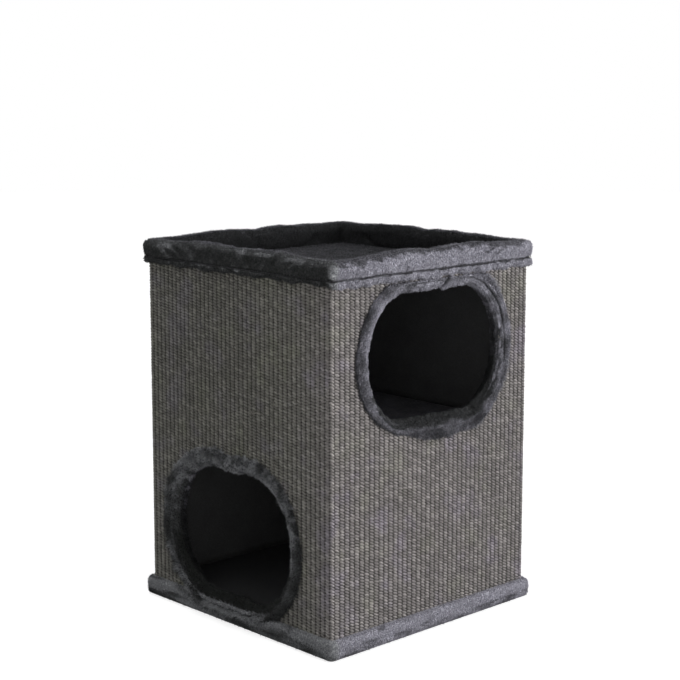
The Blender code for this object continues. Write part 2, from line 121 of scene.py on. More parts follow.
class NodeGraph:
    """A node tree and the calls that add nodes to it."""

    def __init__(self, tree: bpy.types.NodeTree) -> None:
        """Takes the tree that the nodes go into."""
        self.tree = tree

    def node(
        self, kind: str, settings: Mapping[str, object] | None = None, inputs: Mapping[str | int, object] | None = None
    ) -> bpy.types.Node:
        """Adds one node.

        Args:
            kind: The node's type.
            settings: Its properties, set before its sockets.
            inputs: A value or a wire for each socket, by identifier, name or place.

        Returns:
            The new node.
        """
        made = self.tree.nodes.new(kind)
        for name, value in (settings or {}).items():
            setattr(made, name, value)
        for key, value in (inputs or {}).items():
            self.feed(self._socket(made, key), value)
        return made

    @staticmethod
    def _socket(made: bpy.types.Node, key: str | int) -> bpy.types.NodeSocket:
        """The input of a node with this place, identifier or name, which may have underscores for spaces."""
        if isinstance(key, int):
            return made.inputs[key]
        names = (key, key.replace("_", " "))
        named = [socket for socket in made.inputs if socket.identifier in names]
        named += [socket for socket in made.inputs if socket.name in names and socket.enabled]
        return named[0]

    def feed(self, socket: bpy.types.NodeSocket, value: object) -> None:
        """Links a wire to a socket, or sets the socket's own value."""
        if isinstance(value, Wire):
            self.tree.links.new(value.socket, socket)
        elif socket.type == "RGBA" and len(value) == 3:
            socket.default_value = (*value, 1.0)
        else:
            socket.default_value = value

    def wire(self, made: bpy.types.Node, output: str | int = 0) -> Wire:
        """The output of a node with this place, identifier or name."""
        if isinstance(output, int):
            return Wire(self, made.outputs[output])
        named = [socket for socket in made.outputs if socket.identifier == output]
        named += [socket for socket in made.outputs if socket.name == output and socket.enabled]
        return Wire(self, named[0])

    def result(
        self, kind: str, output: str | int = 0, settings: Mapping[str, object] | None = None, **inputs: object
    ) -> Wire:
        """Adds one node with named inputs and gives one output of it."""
        return self.wire(self.node(kind, settings, inputs), output)

    def maths(self, operation: str, *values: object) -> Wire:
        """One Math node's result."""
        return self.wire(self.node("ShaderNodeMath", {"operation": operation}, dict(enumerate(values))))

    def vectors(self, operation: str, *values: object) -> Wire:
        """One Vector Math node's result, a vector or, for a dot product, a value."""
        made = self.node("ShaderNodeVectorMath", {"operation": operation}, dict(enumerate(values)))
        return self.wire(made, 1 if operation == "DOT_PRODUCT" else 0)

    def stretched(self, vector: object, scale: object) -> Wire:
        """A vector times one value."""
        return self.wire(self.node("ShaderNodeVectorMath", {"operation": "SCALE"}, {0: vector, "Scale": scale}))

    def join(self, x: object = 0.0, y: object = 0.0, z: object = 0.0) -> Wire:
        """A vector from three values."""
        return self.result("ShaderNodeCombineXYZ", X=x, Y=y, Z=z)

    def parts(self, vector: Wire) -> list[Wire]:
        """The three values of a vector."""
        made = self.node("ShaderNodeSeparateXYZ", None, {"Vector": vector})
        return [self.wire(made, place) for place in range(3)]

    def blend(self, factor: object, first: object, second: object, how: str = "MIX") -> Wire:
        """Two colours mixed by a factor."""
        settings = {"data_type": "RGBA", "blend_type": how, "clamp_factor": True}
        inputs = {"Factor_Float": factor, "A_Color": first, "B_Color": second}
        return self.wire(self.node("ShaderNodeMix", settings, inputs), "Result_Color")

    def mixed(self, factor: Wire, first: Wire, second: Wire) -> Wire:
        """Two shaders mixed by a factor."""
        return self.wire(self.node("ShaderNodeMixShader", None, {0: factor, 1: first, 2: second}))

    def cloud(self, vector: Wire, scale: float, detail: float = 2.0, rough: float = 0.5, output: str = "Fac") -> Wire:
        """Noise at a scale in cells per metre."""
        return self.result("ShaderNodeTexNoise", output, Vector=vector, Scale=scale, Detail=detail, Roughness=rough)


class Finish(NodeGraph):
    """The node graph of one material that ends in a Principled shader."""

    def __init__(self, name: str) -> None:
        """Makes the material and empties its tree."""
        self.material = bpy.data.materials.new(name)
        self.material.use_nodes = True
        super().__init__(self.material.node_tree)
        self.tree.nodes.clear()

    def place(self) -> Wire:
        """Object coordinates, in metres."""
        return self.result("ShaderNodeTexCoord", "Object")

    def bent(self, place: Wire, scale: float, far: float) -> Wire:
        """Places pushed about by noise, so that what is drawn on them gets crooked."""
        return self.vectors("ADD", place, self.stretched(self.cloud(place, scale, output="Color"), far))

    def attribute(self, name: str, output: str = "Fac") -> Wire:
        """A named attribute of the mesh."""
        return self.result("ShaderNodeAttribute", output, {"attribute_name": name})

    def toned(self, colour: Wire, level: Wire) -> Wire:
        """A colour times one value."""
        return self.blend(1.0, colour, self.join(level, level, level), "MULTIPLY")

    def raised(self, height: Wire, strength: float, distance: float) -> Wire:
        """A bumped normal."""
        return self.result("ShaderNodeBump", Height=height, Strength=strength, Distance=distance)

    def shaded(self, **sockets: object) -> Material:
        """Ends the graph in a Principled shader.

        Args:
            sockets: Values or wires by socket name, with underscores for spaces.

        Returns:
            The finished material.
        """
        self.node("ShaderNodeOutputMaterial", None, {"Surface": self.result("ShaderNodeBsdfPrincipled", **sockets)})
        return self.material


class Dial(Enum):
    """The kinds of named input that a mesh recipe has."""

    WHOLE = "NodeSocketInt"
    NUMBER = "NodeSocketFloat"
    ARROW = "NodeSocketVector"
    MATERIAL = "NodeSocketMaterial"


class Recipe(NodeGraph):
    """A Geometry Nodes tree with named inputs, whose result is kept as a plain mesh."""

    def __init__(self, name: str) -> None:
        """Makes the tree with its geometry input and output."""
        super().__init__(bpy.data.node_groups.new(name, "GeometryNodeTree"))
        for way in ("INPUT", "OUTPUT"):
            self.tree.interface.new_socket("Geometry", in_out=way, socket_type="NodeSocketGeometry")
        self.entry, self.exit = self.node("NodeGroupInput"), self.node("NodeGroupOutput")
        self.keys: dict[str, str] = {}

    def dial(self, name: str, kind: Dial = Dial.NUMBER) -> Wire:
        """Adds a named input and gives its wire."""
        item = self.tree.interface.new_socket(name, in_out="INPUT", socket_type=kind.value)
        self.keys[name] = item.identifier
        return self.wire(self.entry, item.identifier)

    def dials(self, kind: Dial, *names: str) -> list[Wire]:
        """Adds several named inputs of one kind and gives their wires."""
        return [self.dial(name, kind) for name in names]

    def geometry(self) -> Wire:
        """The geometry that the tree is run on."""
        return self.wire(self.entry, 0)

    def spot(self) -> Wire:
        """The place of each point."""
        return self.result("GeometryNodeInputPosition")

    def chance(self, low: object, high: object, seed: Wire, salt: int) -> Wire:
        """A random value for each point, with its own salt on the seed."""
        inputs = {"Min_001": low, "Max_001": high, "Seed": seed + salt}
        return self.wire(self.node("FunctionNodeRandomValue", {"data_type": "FLOAT"}, inputs), "Value_001")

    def keep(self, shape: Wire, name: str, value: object, kind: str = "FLOAT", domain: str = "POINT") -> Wire:
        """Stores a named attribute on a geometry."""
        settings = {"data_type": kind, "domain": domain}
        return self.result("GeometryNodeStoreNamedAttribute", 0, settings, Geometry=shape, Name=name, Value=value)

    def kept(self, name: str, kind: str = "FLOAT") -> Wire:
        """Reads a named attribute."""
        return self.result("GeometryNodeInputNamedAttribute", 0, {"data_type": kind}, Name=name)

    def scatter(self, density: Wire, seed: Wire) -> tuple[Wire, Wire]:
        """Random points on the faces, and the normals there."""
        inputs = {"Mesh": self.geometry(), "Density": density, "Seed": seed}
        made = self.node("GeometryNodeDistributePointsOnFaces", {"distribute_method": "RANDOM"}, inputs)
        return self.wire(made, "Points"), self.wire(made, "Normal")

    def ball(self) -> tuple[Wire, Wire]:
        """A coarse ball of radius 1, and its map."""
        made = self.node("GeometryNodeMeshUVSphere", None, {"Segments": 6, "Rings": 4, "Radius": 1.0})
        return self.wire(made, "Mesh"), self.wire(made, "UV Map")

    def transformed(self, shape: Wire, **change: object) -> Wire:
        """A geometry moved, turned or scaled."""
        return self.result("GeometryNodeTransform", Geometry=shape, **change)

    def shifted(self, shape: Wire, places: Wire) -> Wire:
        """A geometry whose points are set to new places."""
        return self.result("GeometryNodeSetPosition", Geometry=shape, Position=places)

    def aimed(self, axis: str, vector: Wire, rotation: object = (0.0, 0.0, 0.0)) -> Wire:
        """A rotation that turns an axis to a vector."""
        return self.result("FunctionNodeAlignRotationToVector", 0, {"axis": axis}, Rotation=rotation, Vector=vector)

    def planted(self, points: Wire, instance: Wire, rotation: Wire, scale: Wire, material: Wire) -> Wire:
        """Puts an instance on each point, realizes and smooths them all and sets their material."""
        inputs = {"Points": points, "Instance": instance, "Rotation": rotation, "Scale": scale}
        shape = self.wire(self.node("GeometryNodeInstanceOnPoints", None, inputs))
        for kind in ("GeometryNodeRealizeInstances", "GeometryNodeSetShadeSmooth"):
            shape = self.result(kind, Geometry=shape)
        return self.result("GeometryNodeSetMaterial", Geometry=shape, Material=material)

    def charted(self, shape: Wire, place: tuple[Wire, Wire], cells: tuple[Wire, Wire], margin: float) -> Wire:
        """Lays each instance's own map into its cell of the bake map.

        Args:
            shape: The instances as a mesh, with their attribute "cell".
            place: The place on an instance's own map, from 0 to 1 each way.
            cells: How many cells the bake map has across and up.
            margin: The room left at each edge of a cell, as a part of it.

        Returns:
            The mesh with its bake map.
        """
        cell = self.parts(self.kept("cell", "FLOAT_VECTOR"))
        room = 1.0 - 2.0 * margin
        chart = self.join(*((cell[way] + margin + room * place[way]) / cells[way] for way in (0, 1)))
        return self.keep(shape, "OFBake", chart, "FLOAT2", "CORNER")

    def ends_in(self, shape: Wire) -> None:
        """Links the result to the tree's output."""
        self.feed(self.exit.inputs[0], shape)

    def run(self, carrier: Piece, name: str, dials: Mapping[str, object]) -> Piece:
        """Runs the tree on an object and keeps the result as a new plain mesh.

        Args:
            carrier: The object whose geometry goes in. It is left as it was.
            name: The new piece's name.
            dials: A value for each named input.

        Returns:
            The new piece.
        """
        modifier = carrier.modifiers.new(self.tree.name, "NODES")
        modifier.node_group = self.tree
        for label, value in dials.items():
            modifier[self.keys[label]] = value
        mesh = evaluated(carrier)
        carrier.modifiers.remove(modifier)
        return put(name, mesh)


# ----- finishes


@dataclass(frozen=True)
class PlushFinish:
    """Short plush: nearly black where one looks into its pile and where painted shade falls, and a violet grey where
    the pile lies flat and where painted light falls.
    """

    name: str = "plush"
    # root is painted shade deep in the pile; into is where one looks into the pile and painted shade; along is where
    # the pile lies flat and painted light; bright is painted highlights; shaded_side is painted shade on the left side
    root: Colour = (0.010, 0.010, 0.010)
    into: Colour = (0.046, 0.048, 0.048)
    along: Colour = (0.530, 0.522, 0.600)
    bright: Colour = (0.860, 0.845, 0.940)
    shaded_side: Colour = (0.950, 0.985, 0.900)

    def material(self) -> Material:
        """Builds the material from the pile's lie together with the painted light and shade on the skin, broken up by
        patches, streaks and clumps, with painted highlights in the bright colour and painted shade on the left side and
        towards the tufts' roots.
        """
        m = Finish(self.name)
        place = m.place()
        x, y, z = m.parts(place)
        tip, shade, nap, drawn = (m.attribute(name) for name in ("tip", "shade", "nap", "drawn"))
        patch = m.cloud(place, 36.0, 3.0, 0.6)
        clump = m.cloud(place, 300.0, 2.0, 0.65)
        streak = m.cloud(m.join(x * 430.0, y * 430.0, z * 75.0), 1.0, 2.0, 0.6)
        fibre = m.cloud(place, 950.0, 2.0, 0.7)
        # the pile's lie together with the painted light and shade from the skin
        lie_and_light = nap * (0.05 + 1.9 * patch + 1.1 * drawn * (streak - 0.5))
        colour = m.blend(lie_and_light, self.into, self.along)
        # painted highlights: bright sparkles where the painted light is strong
        colour = m.blend(lie_and_light * clump.between(0.52, 0.74) * shade, colour, self.bright)
        # painted shade: the left side darker and more olive
        left = x.between(SIDE_LINE, SIDE_LINE - 0.012)
        colour = m.blend(left, colour, m.blend(1.0, colour, self.shaded_side, "MULTIPLY"))
        # painted shade deep in the pile: darker towards the tufts' roots
        colour = m.blend(tip.between(-0.25, 0.70), self.root, colour)
        return m.shaded(
            Base_Color=m.toned(colour, 0.98 + 1.0 * (clump - 0.5) + 0.5 * (shade - 0.5)),
            Roughness=0.80 + 0.18 * fibre,
            Normal=m.raised(fibre + 1.2 * clump, 0.6, 0.0014),
            Specular_IOR_Level=0.10,
            Sheen_Weight=0.06,
            Sheen_Roughness=0.45,
            Sheen_Tint=(0.78, 0.76, 0.86, 1.0),
        )


@dataclass(frozen=True)
class SisalFinish:
    """Taupe grey sisal yarn with random violet and olive patches, and painted shade that makes the left and back darker
    and more olive.
    """

    name: str = "woven sisal"
    pale: Colour = (0.450, 0.420, 0.412)
    body: Colour = (0.285, 0.266, 0.260)
    deep: Colour = (0.105, 0.098, 0.095)
    violet: Colour = (0.250, 0.225, 0.275)
    olive: Colour = (0.250, 0.248, 0.205)
    shaded_side: Colour = (0.88, 0.92, 0.85)

    def material(self) -> Material:
        """Builds the material: hair streaks along each stitch, and a shade of its own for each stitch."""
        m = Finish(self.name)
        place = m.place()
        x, y, _ = m.parts(place)
        shade = m.attribute("shade")
        around, along, _ = m.parts(m.attribute("yarn", "Vector"))
        streak = m.cloud(m.join(around * 26.0 + shade * 91.0, along * 3.0, shade * 17.0), 1.0, 3.0, 0.65)
        colour = m.blend(streak.between(0.28, 0.66), self.deep, self.body)
        colour = m.blend(streak.between(0.48, 0.80) * shade.between(0.25, 1.0), colour, self.pale)
        tint = m.cloud(place, 21.0)
        colour = m.blend(0.50 * tint.between(0.54, 0.72), colour, self.violet)
        colour = m.blend(0.40 * tint.between(0.46, 0.28), colour, self.olive)
        # painted shade: the left and back sides darker and more olive
        to_right = x - y
        colour = m.blend(to_right.between(-0.11, 0.03), m.blend(1.0, colour, self.shaded_side, "MULTIPLY"), colour)
        # painted highlight on each stitch's crown and painted shade at its ends, in the grooves between the columns
        crown, wide = 4.0 * along * (1.0 - along), m.cloud(place, 6.0)
        left, front = (value.between(SIDE_LINE, SIDE_LINE - 0.007) for value in (x, y))
        level = (0.80 + 0.40 * shade) * (0.69 + 0.39 * crown.between(0.25, 1.0)) * (0.86 + 0.28 * wide)
        # painted light: the left side brighter towards the front corner, and the front brighter towards its left end
        level = level * (1.0 + 0.28 * (to_right.between(-0.20, -0.02) * left))
        level = level * (1.0 + front * (0.01 - 0.32 * x))
        return m.shaded(
            Base_Color=m.toned(colour, level),
            Roughness=0.72 + 0.22 * streak,
            Normal=m.raised(streak, 0.5, 0.0006),
            Specular_IOR_Level=0.2,
        )


@dataclass(frozen=True)
class BackingFinish:
    """The dark ground of the mat, seen between the stitches."""

    name: str = "sisal ground"
    light: Colour = (0.088, 0.082, 0.077)
    dark: Colour = (0.036, 0.034, 0.032)

    def material(self) -> Material:
        """Builds the material from two crossed sets of hair."""
        m = Finish(self.name)
        x, y, z = m.parts(m.place())
        warp = m.cloud(m.join(x * 700.0, y * 700.0, z * 60.0), 1.0, 3.0, 0.6)
        weft = m.cloud(m.join((x + y) * 60.0, 0.0, z * 900.0), 1.0, 3.0, 0.6)
        hair = warp * 0.6 + weft * 0.4
        return m.shaded(
            Base_Color=m.blend(hair.between(0.35, 0.65), self.dark, self.light),
            Roughness=0.85 + 0.1 * hair,
            Normal=m.raised(hair, 0.6, 0.0008),
            Specular_IOR_Level=0.2,
        )


@dataclass(frozen=True)
class FeltFinish:
    """Matt black felt of matted short hair."""

    name: str = "black felt"
    dark: Colour = (0.105, 0.105, 0.107)
    light: Colour = (0.180, 0.180, 0.184)

    def material(self) -> Material:
        """Builds the material from tangled hair noise."""
        m = Finish(self.name)
        place = m.place()
        hair = m.cloud(m.bent(place, 130.0, 0.012), 620.0, 4.0, 0.75)
        colour = m.blend(hair.between(0.35, 0.75), self.dark, self.light)
        return m.shaded(
            Base_Color=m.toned(colour, 0.75 + 0.5 * m.cloud(place, 14.0)),
            Roughness=0.9 + 0.08 * hair,
            Normal=m.raised(hair, 0.5, 0.0009),
            Specular_IOR_Level=0.12,
            Sheen_Weight=0.1,
            Sheen_Roughness=0.5,
        )


@dataclass(frozen=True)
class BoardFinish:
    """Raw particle board: flat chips of several tones in a darker glue."""

    name: str = "particle board"
    pale: Colour = (0.560, 0.430, 0.285)
    middle: Colour = (0.400, 0.290, 0.180)
    dark: Colour = (0.235, 0.160, 0.095)

    def material(self) -> Material:
        """Builds the material from chips and fine wood dust."""
        m = Finish(self.name)
        place = m.place()
        chips = m.node("ShaderNodeTexVoronoi", None, {"Vector": m.bent(place, 90.0, 0.010), "Scale": 170.0})
        tone, _, _ = m.parts(m.wire(chips, "Color"))
        dust = m.cloud(place, 800.0, 3.0, 0.7)
        colour = m.blend(tone.between(0.15, 0.55), self.dark, self.middle)
        colour = m.blend(tone.between(0.60, 0.95), colour, self.pale)
        colour = m.blend(0.35 * dust.between(0.45, 0.75), colour, self.pale)
        return m.shaded(
            Base_Color=colour,
            Roughness=0.70 + 0.2 * dust,
            Normal=m.raised(m.wire(chips, "Distance") + 0.4 * dust, 0.35, 0.0008),
            Specular_IOR_Level=0.3,
        )


@dataclass(frozen=True)
class CloudyFinish:
    """A plain material that goes from one colour to another by one noise, such as zinc, thread or loose hair."""

    name: str
    first: Colour
    second: Colour
    scale: float
    detail: float
    edges: tuple[float, float]
    roughness: float
    relief: tuple[float, float]
    metallic: float = 0.0

    def material(self) -> Material:
        """Builds the material from its noise."""
        m = Finish(self.name)
        tone = m.cloud(m.place(), self.scale, self.detail, 0.6)
        return m.shaded(
            Base_Color=m.blend(tone.between(*self.edges), self.first, self.second),
            Metallic=self.metallic,
            Roughness=self.roughness + 0.25 * tone,
            Normal=m.raised(tone, *self.relief),
        )


LOOSE_HAIR = CloudyFinish(
    "loose sisal",
    first=(0.260, 0.240, 0.215),
    second=(0.560, 0.520, 0.450),
    scale=160.0,
    detail=3.0,
    edges=(0.35, 0.65),
    roughness=0.62,
    relief=(0.2, 0.0002),
)
ZINC = CloudyFinish(
    "zinc",
    first=(0.620, 0.620, 0.610),
    second=(0.430, 0.430, 0.410),
    scale=420.0,
    detail=3.0,
    edges=(0.4, 0.7),
    roughness=0.26,
    relief=(0.15, 0.0003),
    metallic=1.0,
)
THREAD = CloudyFinish(
    "sewing thread",
    first=(0.020, 0.019, 0.024),
    second=(0.085, 0.080, 0.096),
    scale=1800.0,
    detail=2.0,
    edges=(0.35, 0.65),
    roughness=0.55,
    relief=(0.3, 0.0003),
)


# ----- shapes and paths


def placed(name: str, data: bpy.types.ID) -> Piece:
    """Links an object with this data to the scene."""
    piece = bpy.data.objects.new(name, data)
    bpy.context.scene.collection.objects.link(piece)
    return piece


def put(name: str, mesh: Mesh) -> Piece:
    """Links a mesh to the scene as an object of the same name."""
    mesh.name = name
    return placed(name, mesh)


def mesh_from(shape: bmesh.types.BMesh, name: str) -> Mesh:
    """Turns a bmesh into a mesh and frees it."""
    mesh = bpy.data.meshes.new(name)
    shape.to_mesh(mesh)
    shape.free()
    return mesh


def coordinates(mesh: Mesh) -> Points:
    """The places of a mesh's vertices."""
    flat = np.empty(len(mesh.vertices) * 3)
    mesh.vertices.foreach_get("co", flat)
    return flat.reshape(-1, 3)


def settle(mesh: Mesh, places: Points) -> None:
    """Moves a mesh's vertices to new places."""
    mesh.vertices.foreach_set("co", np.ascontiguousarray(places, dtype=np.float32).ravel())
    mesh.update()


def paint(mesh: Mesh, **layers: Points | float) -> None:
    """Stores each layer, one number for each vertex, as an attribute of its name."""
    for name, values in layers.items():
        layer = mesh.attributes.get(name) or mesh.attributes.new(name, "FLOAT", "POINT")
        spread = np.broadcast_to(np.asarray(values, dtype=np.float32), len(mesh.vertices))
        layer.data.foreach_set("value", spread.copy())


def painted(mesh: Mesh, name: str) -> Points:
    """Reads an attribute of one number for each vertex."""
    values = np.empty(len(mesh.vertices), dtype=np.float32)
    mesh.attributes[name].data.foreach_get("value", values)
    return values


def strip(piece: Piece, *names: str) -> None:
    """Removes the attributes that a finished piece needs no longer."""
    for name in names:
        layer = piece.data.attributes.get(name)
        if layer:
            piece.data.attributes.remove(layer)


def facing(mesh: Mesh) -> Points:
    """The normals of a mesh's vertices."""
    flat = np.empty(len(mesh.vertices) * 3, dtype=np.float32)
    mesh.vertex_normals.foreach_get("vector", flat)
    return flat.reshape(-1, 3)


def square_reach(places: Points) -> Points:
    """How far out on the tower's square plan each place is."""
    return np.maximum(abs(places[:, 0]), abs(places[:, 1]))


def rumple(places: Points, scale: float, seed: float) -> Points:
    """Smooth noise from -1 to 1 at each place, at a scale in waves per metre."""
    shift = Vector((seed * 3.17, seed * 1.93, seed * 2.71))
    return np.array([noise.noise(Vector(place) * scale + shift) for place in places.tolist()])


def rumples(places: Points, *waves: tuple[float, float, float]) -> Points:
    """Several rumples added up, each from its height, its scale and its seed."""
    return sum(height * rumple(places, scale, seed) for height, scale, seed in waves)


def bell(values: Points, width: float) -> Points:
    """A bell curve over the values, which is 1 at nought."""
    return np.exp(-((values / width) ** 2))


def eased(values: Points, low: float, high: float) -> Points:
    """A smooth step from 0 to 1 while the values go from low to high."""
    part = np.clip((values - low) / (high - low), 0.0, 1.0)
    return part * part * (3.0 - 2.0 * part)


def brushed_and_shaded(mesh: Mesh, sides: Mapping["Side", float], top: float, inner: float, middle: float) -> Points:
    """Painted light and shade on a square course of plush, from its sides' values and the way its faces look, together
    with how flat its pile lies.

    Args:
        mesh: The skin.
        sides: The value of each side's outer face.
        top: The value of faces that look up.
        inner: The value of the faces that look inwards.
        middle: How far out the line between outer and inner faces is.

    Returns:
        One value for each vertex.
    """
    places, normals = coordinates(mesh), facing(mesh)
    wide = abs(places[:, 0]) > abs(places[:, 1])
    east, north, _ = normals.T
    radial = np.where(wide, east * np.sign(places[:, 0]), north * np.sign(places[:, 1]))
    # painted light and shade by side: each outer face takes its side's value
    outer = np.where(east > 0, sides[Side.RIGHT], sides[Side.LEFT]) * east**2
    outer += np.where(north > 0, sides[Side.BACK], sides[Side.FRONT]) * north**2
    outer /= east**2 + north**2 + 1e-6
    own = np.where(places[:, 0] > 0, sides[Side.RIGHT], sides[Side.LEFT])
    own = np.where(wide, own, np.where(places[:, 1] > 0, sides[Side.BACK], sides[Side.FRONT]))
    turned = np.maximum(eased(-normals[:, 2], 0.2, 0.7), eased(-radial, -0.3, 0.1))
    outer += (own * (1 - 0.5 * eased(-radial, 0.0, 0.5)) - outer) * turned
    # painted light and shade: faces that look up take the top value, and faces that look inwards the inner value
    upward = eased(normals[:, 2] + rumples(places, (0.34, 46.0, 31.0), (0.30, 130.0, 32.0)), 0.28, 0.85)
    inward = eased(-radial, -0.1, 0.5) * (square_reach(places) < middle)
    lie_and_light = outer * (1 - upward) + top * upward
    return lie_and_light * (1 - inward) + inner * inward


def evaluated(piece: Piece) -> Mesh:
    """A piece's geometry with its modifiers applied, as a new mesh."""
    depsgraph = bpy.context.evaluated_depsgraph_get()
    return bpy.data.meshes.new_from_object(
        piece.evaluated_get(depsgraph), preserve_all_data_layers=True, depsgraph=depsgraph
    )


def baked(piece: Piece) -> Piece:
    """Applies every modifier of a piece to its mesh."""
    mesh, old = evaluated(piece), piece.data
    piece.modifiers.clear()
    piece.data = mesh
    bpy.data.meshes.remove(old)
    mesh.name = piece.name
    return piece


def subdivided(piece: Piece) -> Piece:
    """Subdivides a piece once and applies it."""
    modifier = piece.modifiers.new("finer", "SUBSURF")
    modifier.levels = modifier.render_levels = 1
    return baked(piece)


def thickened(piece: Piece, thickness: float, offset: float) -> Piece:
    """Gives an open skin its thickness and applies it."""
    modifier = piece.modifiers.new("thickness", "SOLIDIFY")
    modifier.thickness, modifier.offset, modifier.use_even_offset = thickness, offset, True
    return baked(piece)


def run_through(corners: Sequence[tuple[float, float, float]], step: float) -> Points:
    """Walks an open run of corners, each rounded by its own radius.

    Args:
        corners: Corners as (across, up, radius).
        step: The longest distance between two points of the walk.

    Returns:
        The points of the walk, as rows of (across, up).
    """
    stops: list[Points] = []
    last = len(corners) - 1
    for index, (across, up, radius) in enumerate(corners):
        corner = np.array((across, up))
        if radius == 0 or index in (0, last):
            stops.append(corner)
            continue
        before = np.array(corners[index - 1][:2]) - corner
        after = np.array(corners[index + 1][:2]) - corner
        before, after = before / np.linalg.norm(before), after / np.linalg.norm(after)
        half = math.acos(np.clip(before @ after, -1, 1)) / 2
        middle = before + after
        centre = corner + middle / np.linalg.norm(middle) * radius / math.sin(half)
        start = corner + before * radius / math.tan(half) - centre
        end = corner + after * radius / math.tan(half) - centre
        first = math.atan2(start[1], start[0])
        sweep = (math.atan2(end[1], end[0]) - first + math.pi) % (2 * math.pi) - math.pi
        count = max(3, round(abs(sweep) * radius / step))
        for number in range(count + 1):
            angle = first + sweep * number / count
            stops.append(centre + radius * np.array((math.cos(angle), math.sin(angle))))
    walk = [stops[0]]
    for stop in stops[1:]:
        gap = stop - walk[-1]
        distance = float(np.linalg.norm(gap))
        if distance < 1e-6:
            continue
        pieces = max(1, math.ceil(distance / step - 0.01))
        walk += [walk[-1] + gap * number / pieces for number in range(1, pieces + 1)]
    return np.array(walk)


def swept_skin(name: str, rows: Points, joined: bool, bands: int = 1, capped: bool = False) -> Piece:
    """A skin over rows of points, each row a closed ring, with a bake map laid out in bands.

    Args:
        name: The piece's name.
        rows: The places, as (row, place round the ring, 3).
        joined: Whether the last row joins the first.
        bands: How many strips the ring is cut into on the bake map.
        capped: Whether one face closes the last row.

    Returns:
        The new piece, with its faces outwards where it is closed.
    """
    count, around = rows.shape[:2]
    spans = count if joined else count - 1
    row, column = np.meshgrid(np.arange(spans), np.arange(around), indexing="ij")
    after, beside = (row + 1) % count, (column + 1) % around
    quads = np.stack(
        [row * around + column, row * around + beside, after * around + beside, after * around + column], -1
    ).reshape(-1, 4)
    band = column * bands // around
    left = (column - band * around / bands) * bands / around
    right = left + bands / around
    low = (band + 0.02 + 0.96 * row / spans) / bands
    high = (band + 0.02 + 0.96 * (row + 1) / spans) / bands
    chart = np.stack([left, low, right, low, right, high, left, high], -1).reshape(-1, 4, 2)
    chart[..., 0] = 0.005 + 0.99 * chart[..., 0]
    places = rows.reshape(-1, 3)
    a, b, c, d = (places[quads[:, corner]] for corner in range(4))
    if joined and np.einsum("ij,ij->", a, np.cross(b, c) + np.cross(c, d)) < 0:
        quads, chart = quads[:, ::-1], chart[:, ::-1]
    faces = quads.tolist()
    if capped:
        faces.append([(count - 1) * around + place for place in range(around)])
    mesh = bpy.data.meshes.new(name)
    mesh.from_pydata(places.tolist(), [], faces)
    layer = mesh.uv_layers.new(name="OFBake")
    flat = np.zeros(len(mesh.loops) * 2, dtype=np.float32)
    flat[: chart.size] = chart.ravel()
    layer.uv.foreach_set("vector", flat)
    mesh.validate()
    mesh.shade_smooth()
    return put(name, mesh)


def course_curve(name: str, course: "SquareCourse", height: float) -> Piece:
    """A level course as a curve, which a recipe runs along."""
    places = course.places(course.stops(0.006, 6), 0.0, height)
    curve = bpy.data.curves.new(name, "CURVE")
    curve.dimensions = "3D"
    spline = curve.splines.new("POLY")
    spline.points.add(len(places) - 1)
    spline.points.foreach_set("co", np.column_stack([places, np.ones(len(places))]).ravel())
    return placed(name, curve)


class Side(Enum):
    """The tower's sides in the order in which the mat passes them, from its seam on the back."""

    BACK = 0
    LEFT = 1
    FRONT = 2
    RIGHT = 3


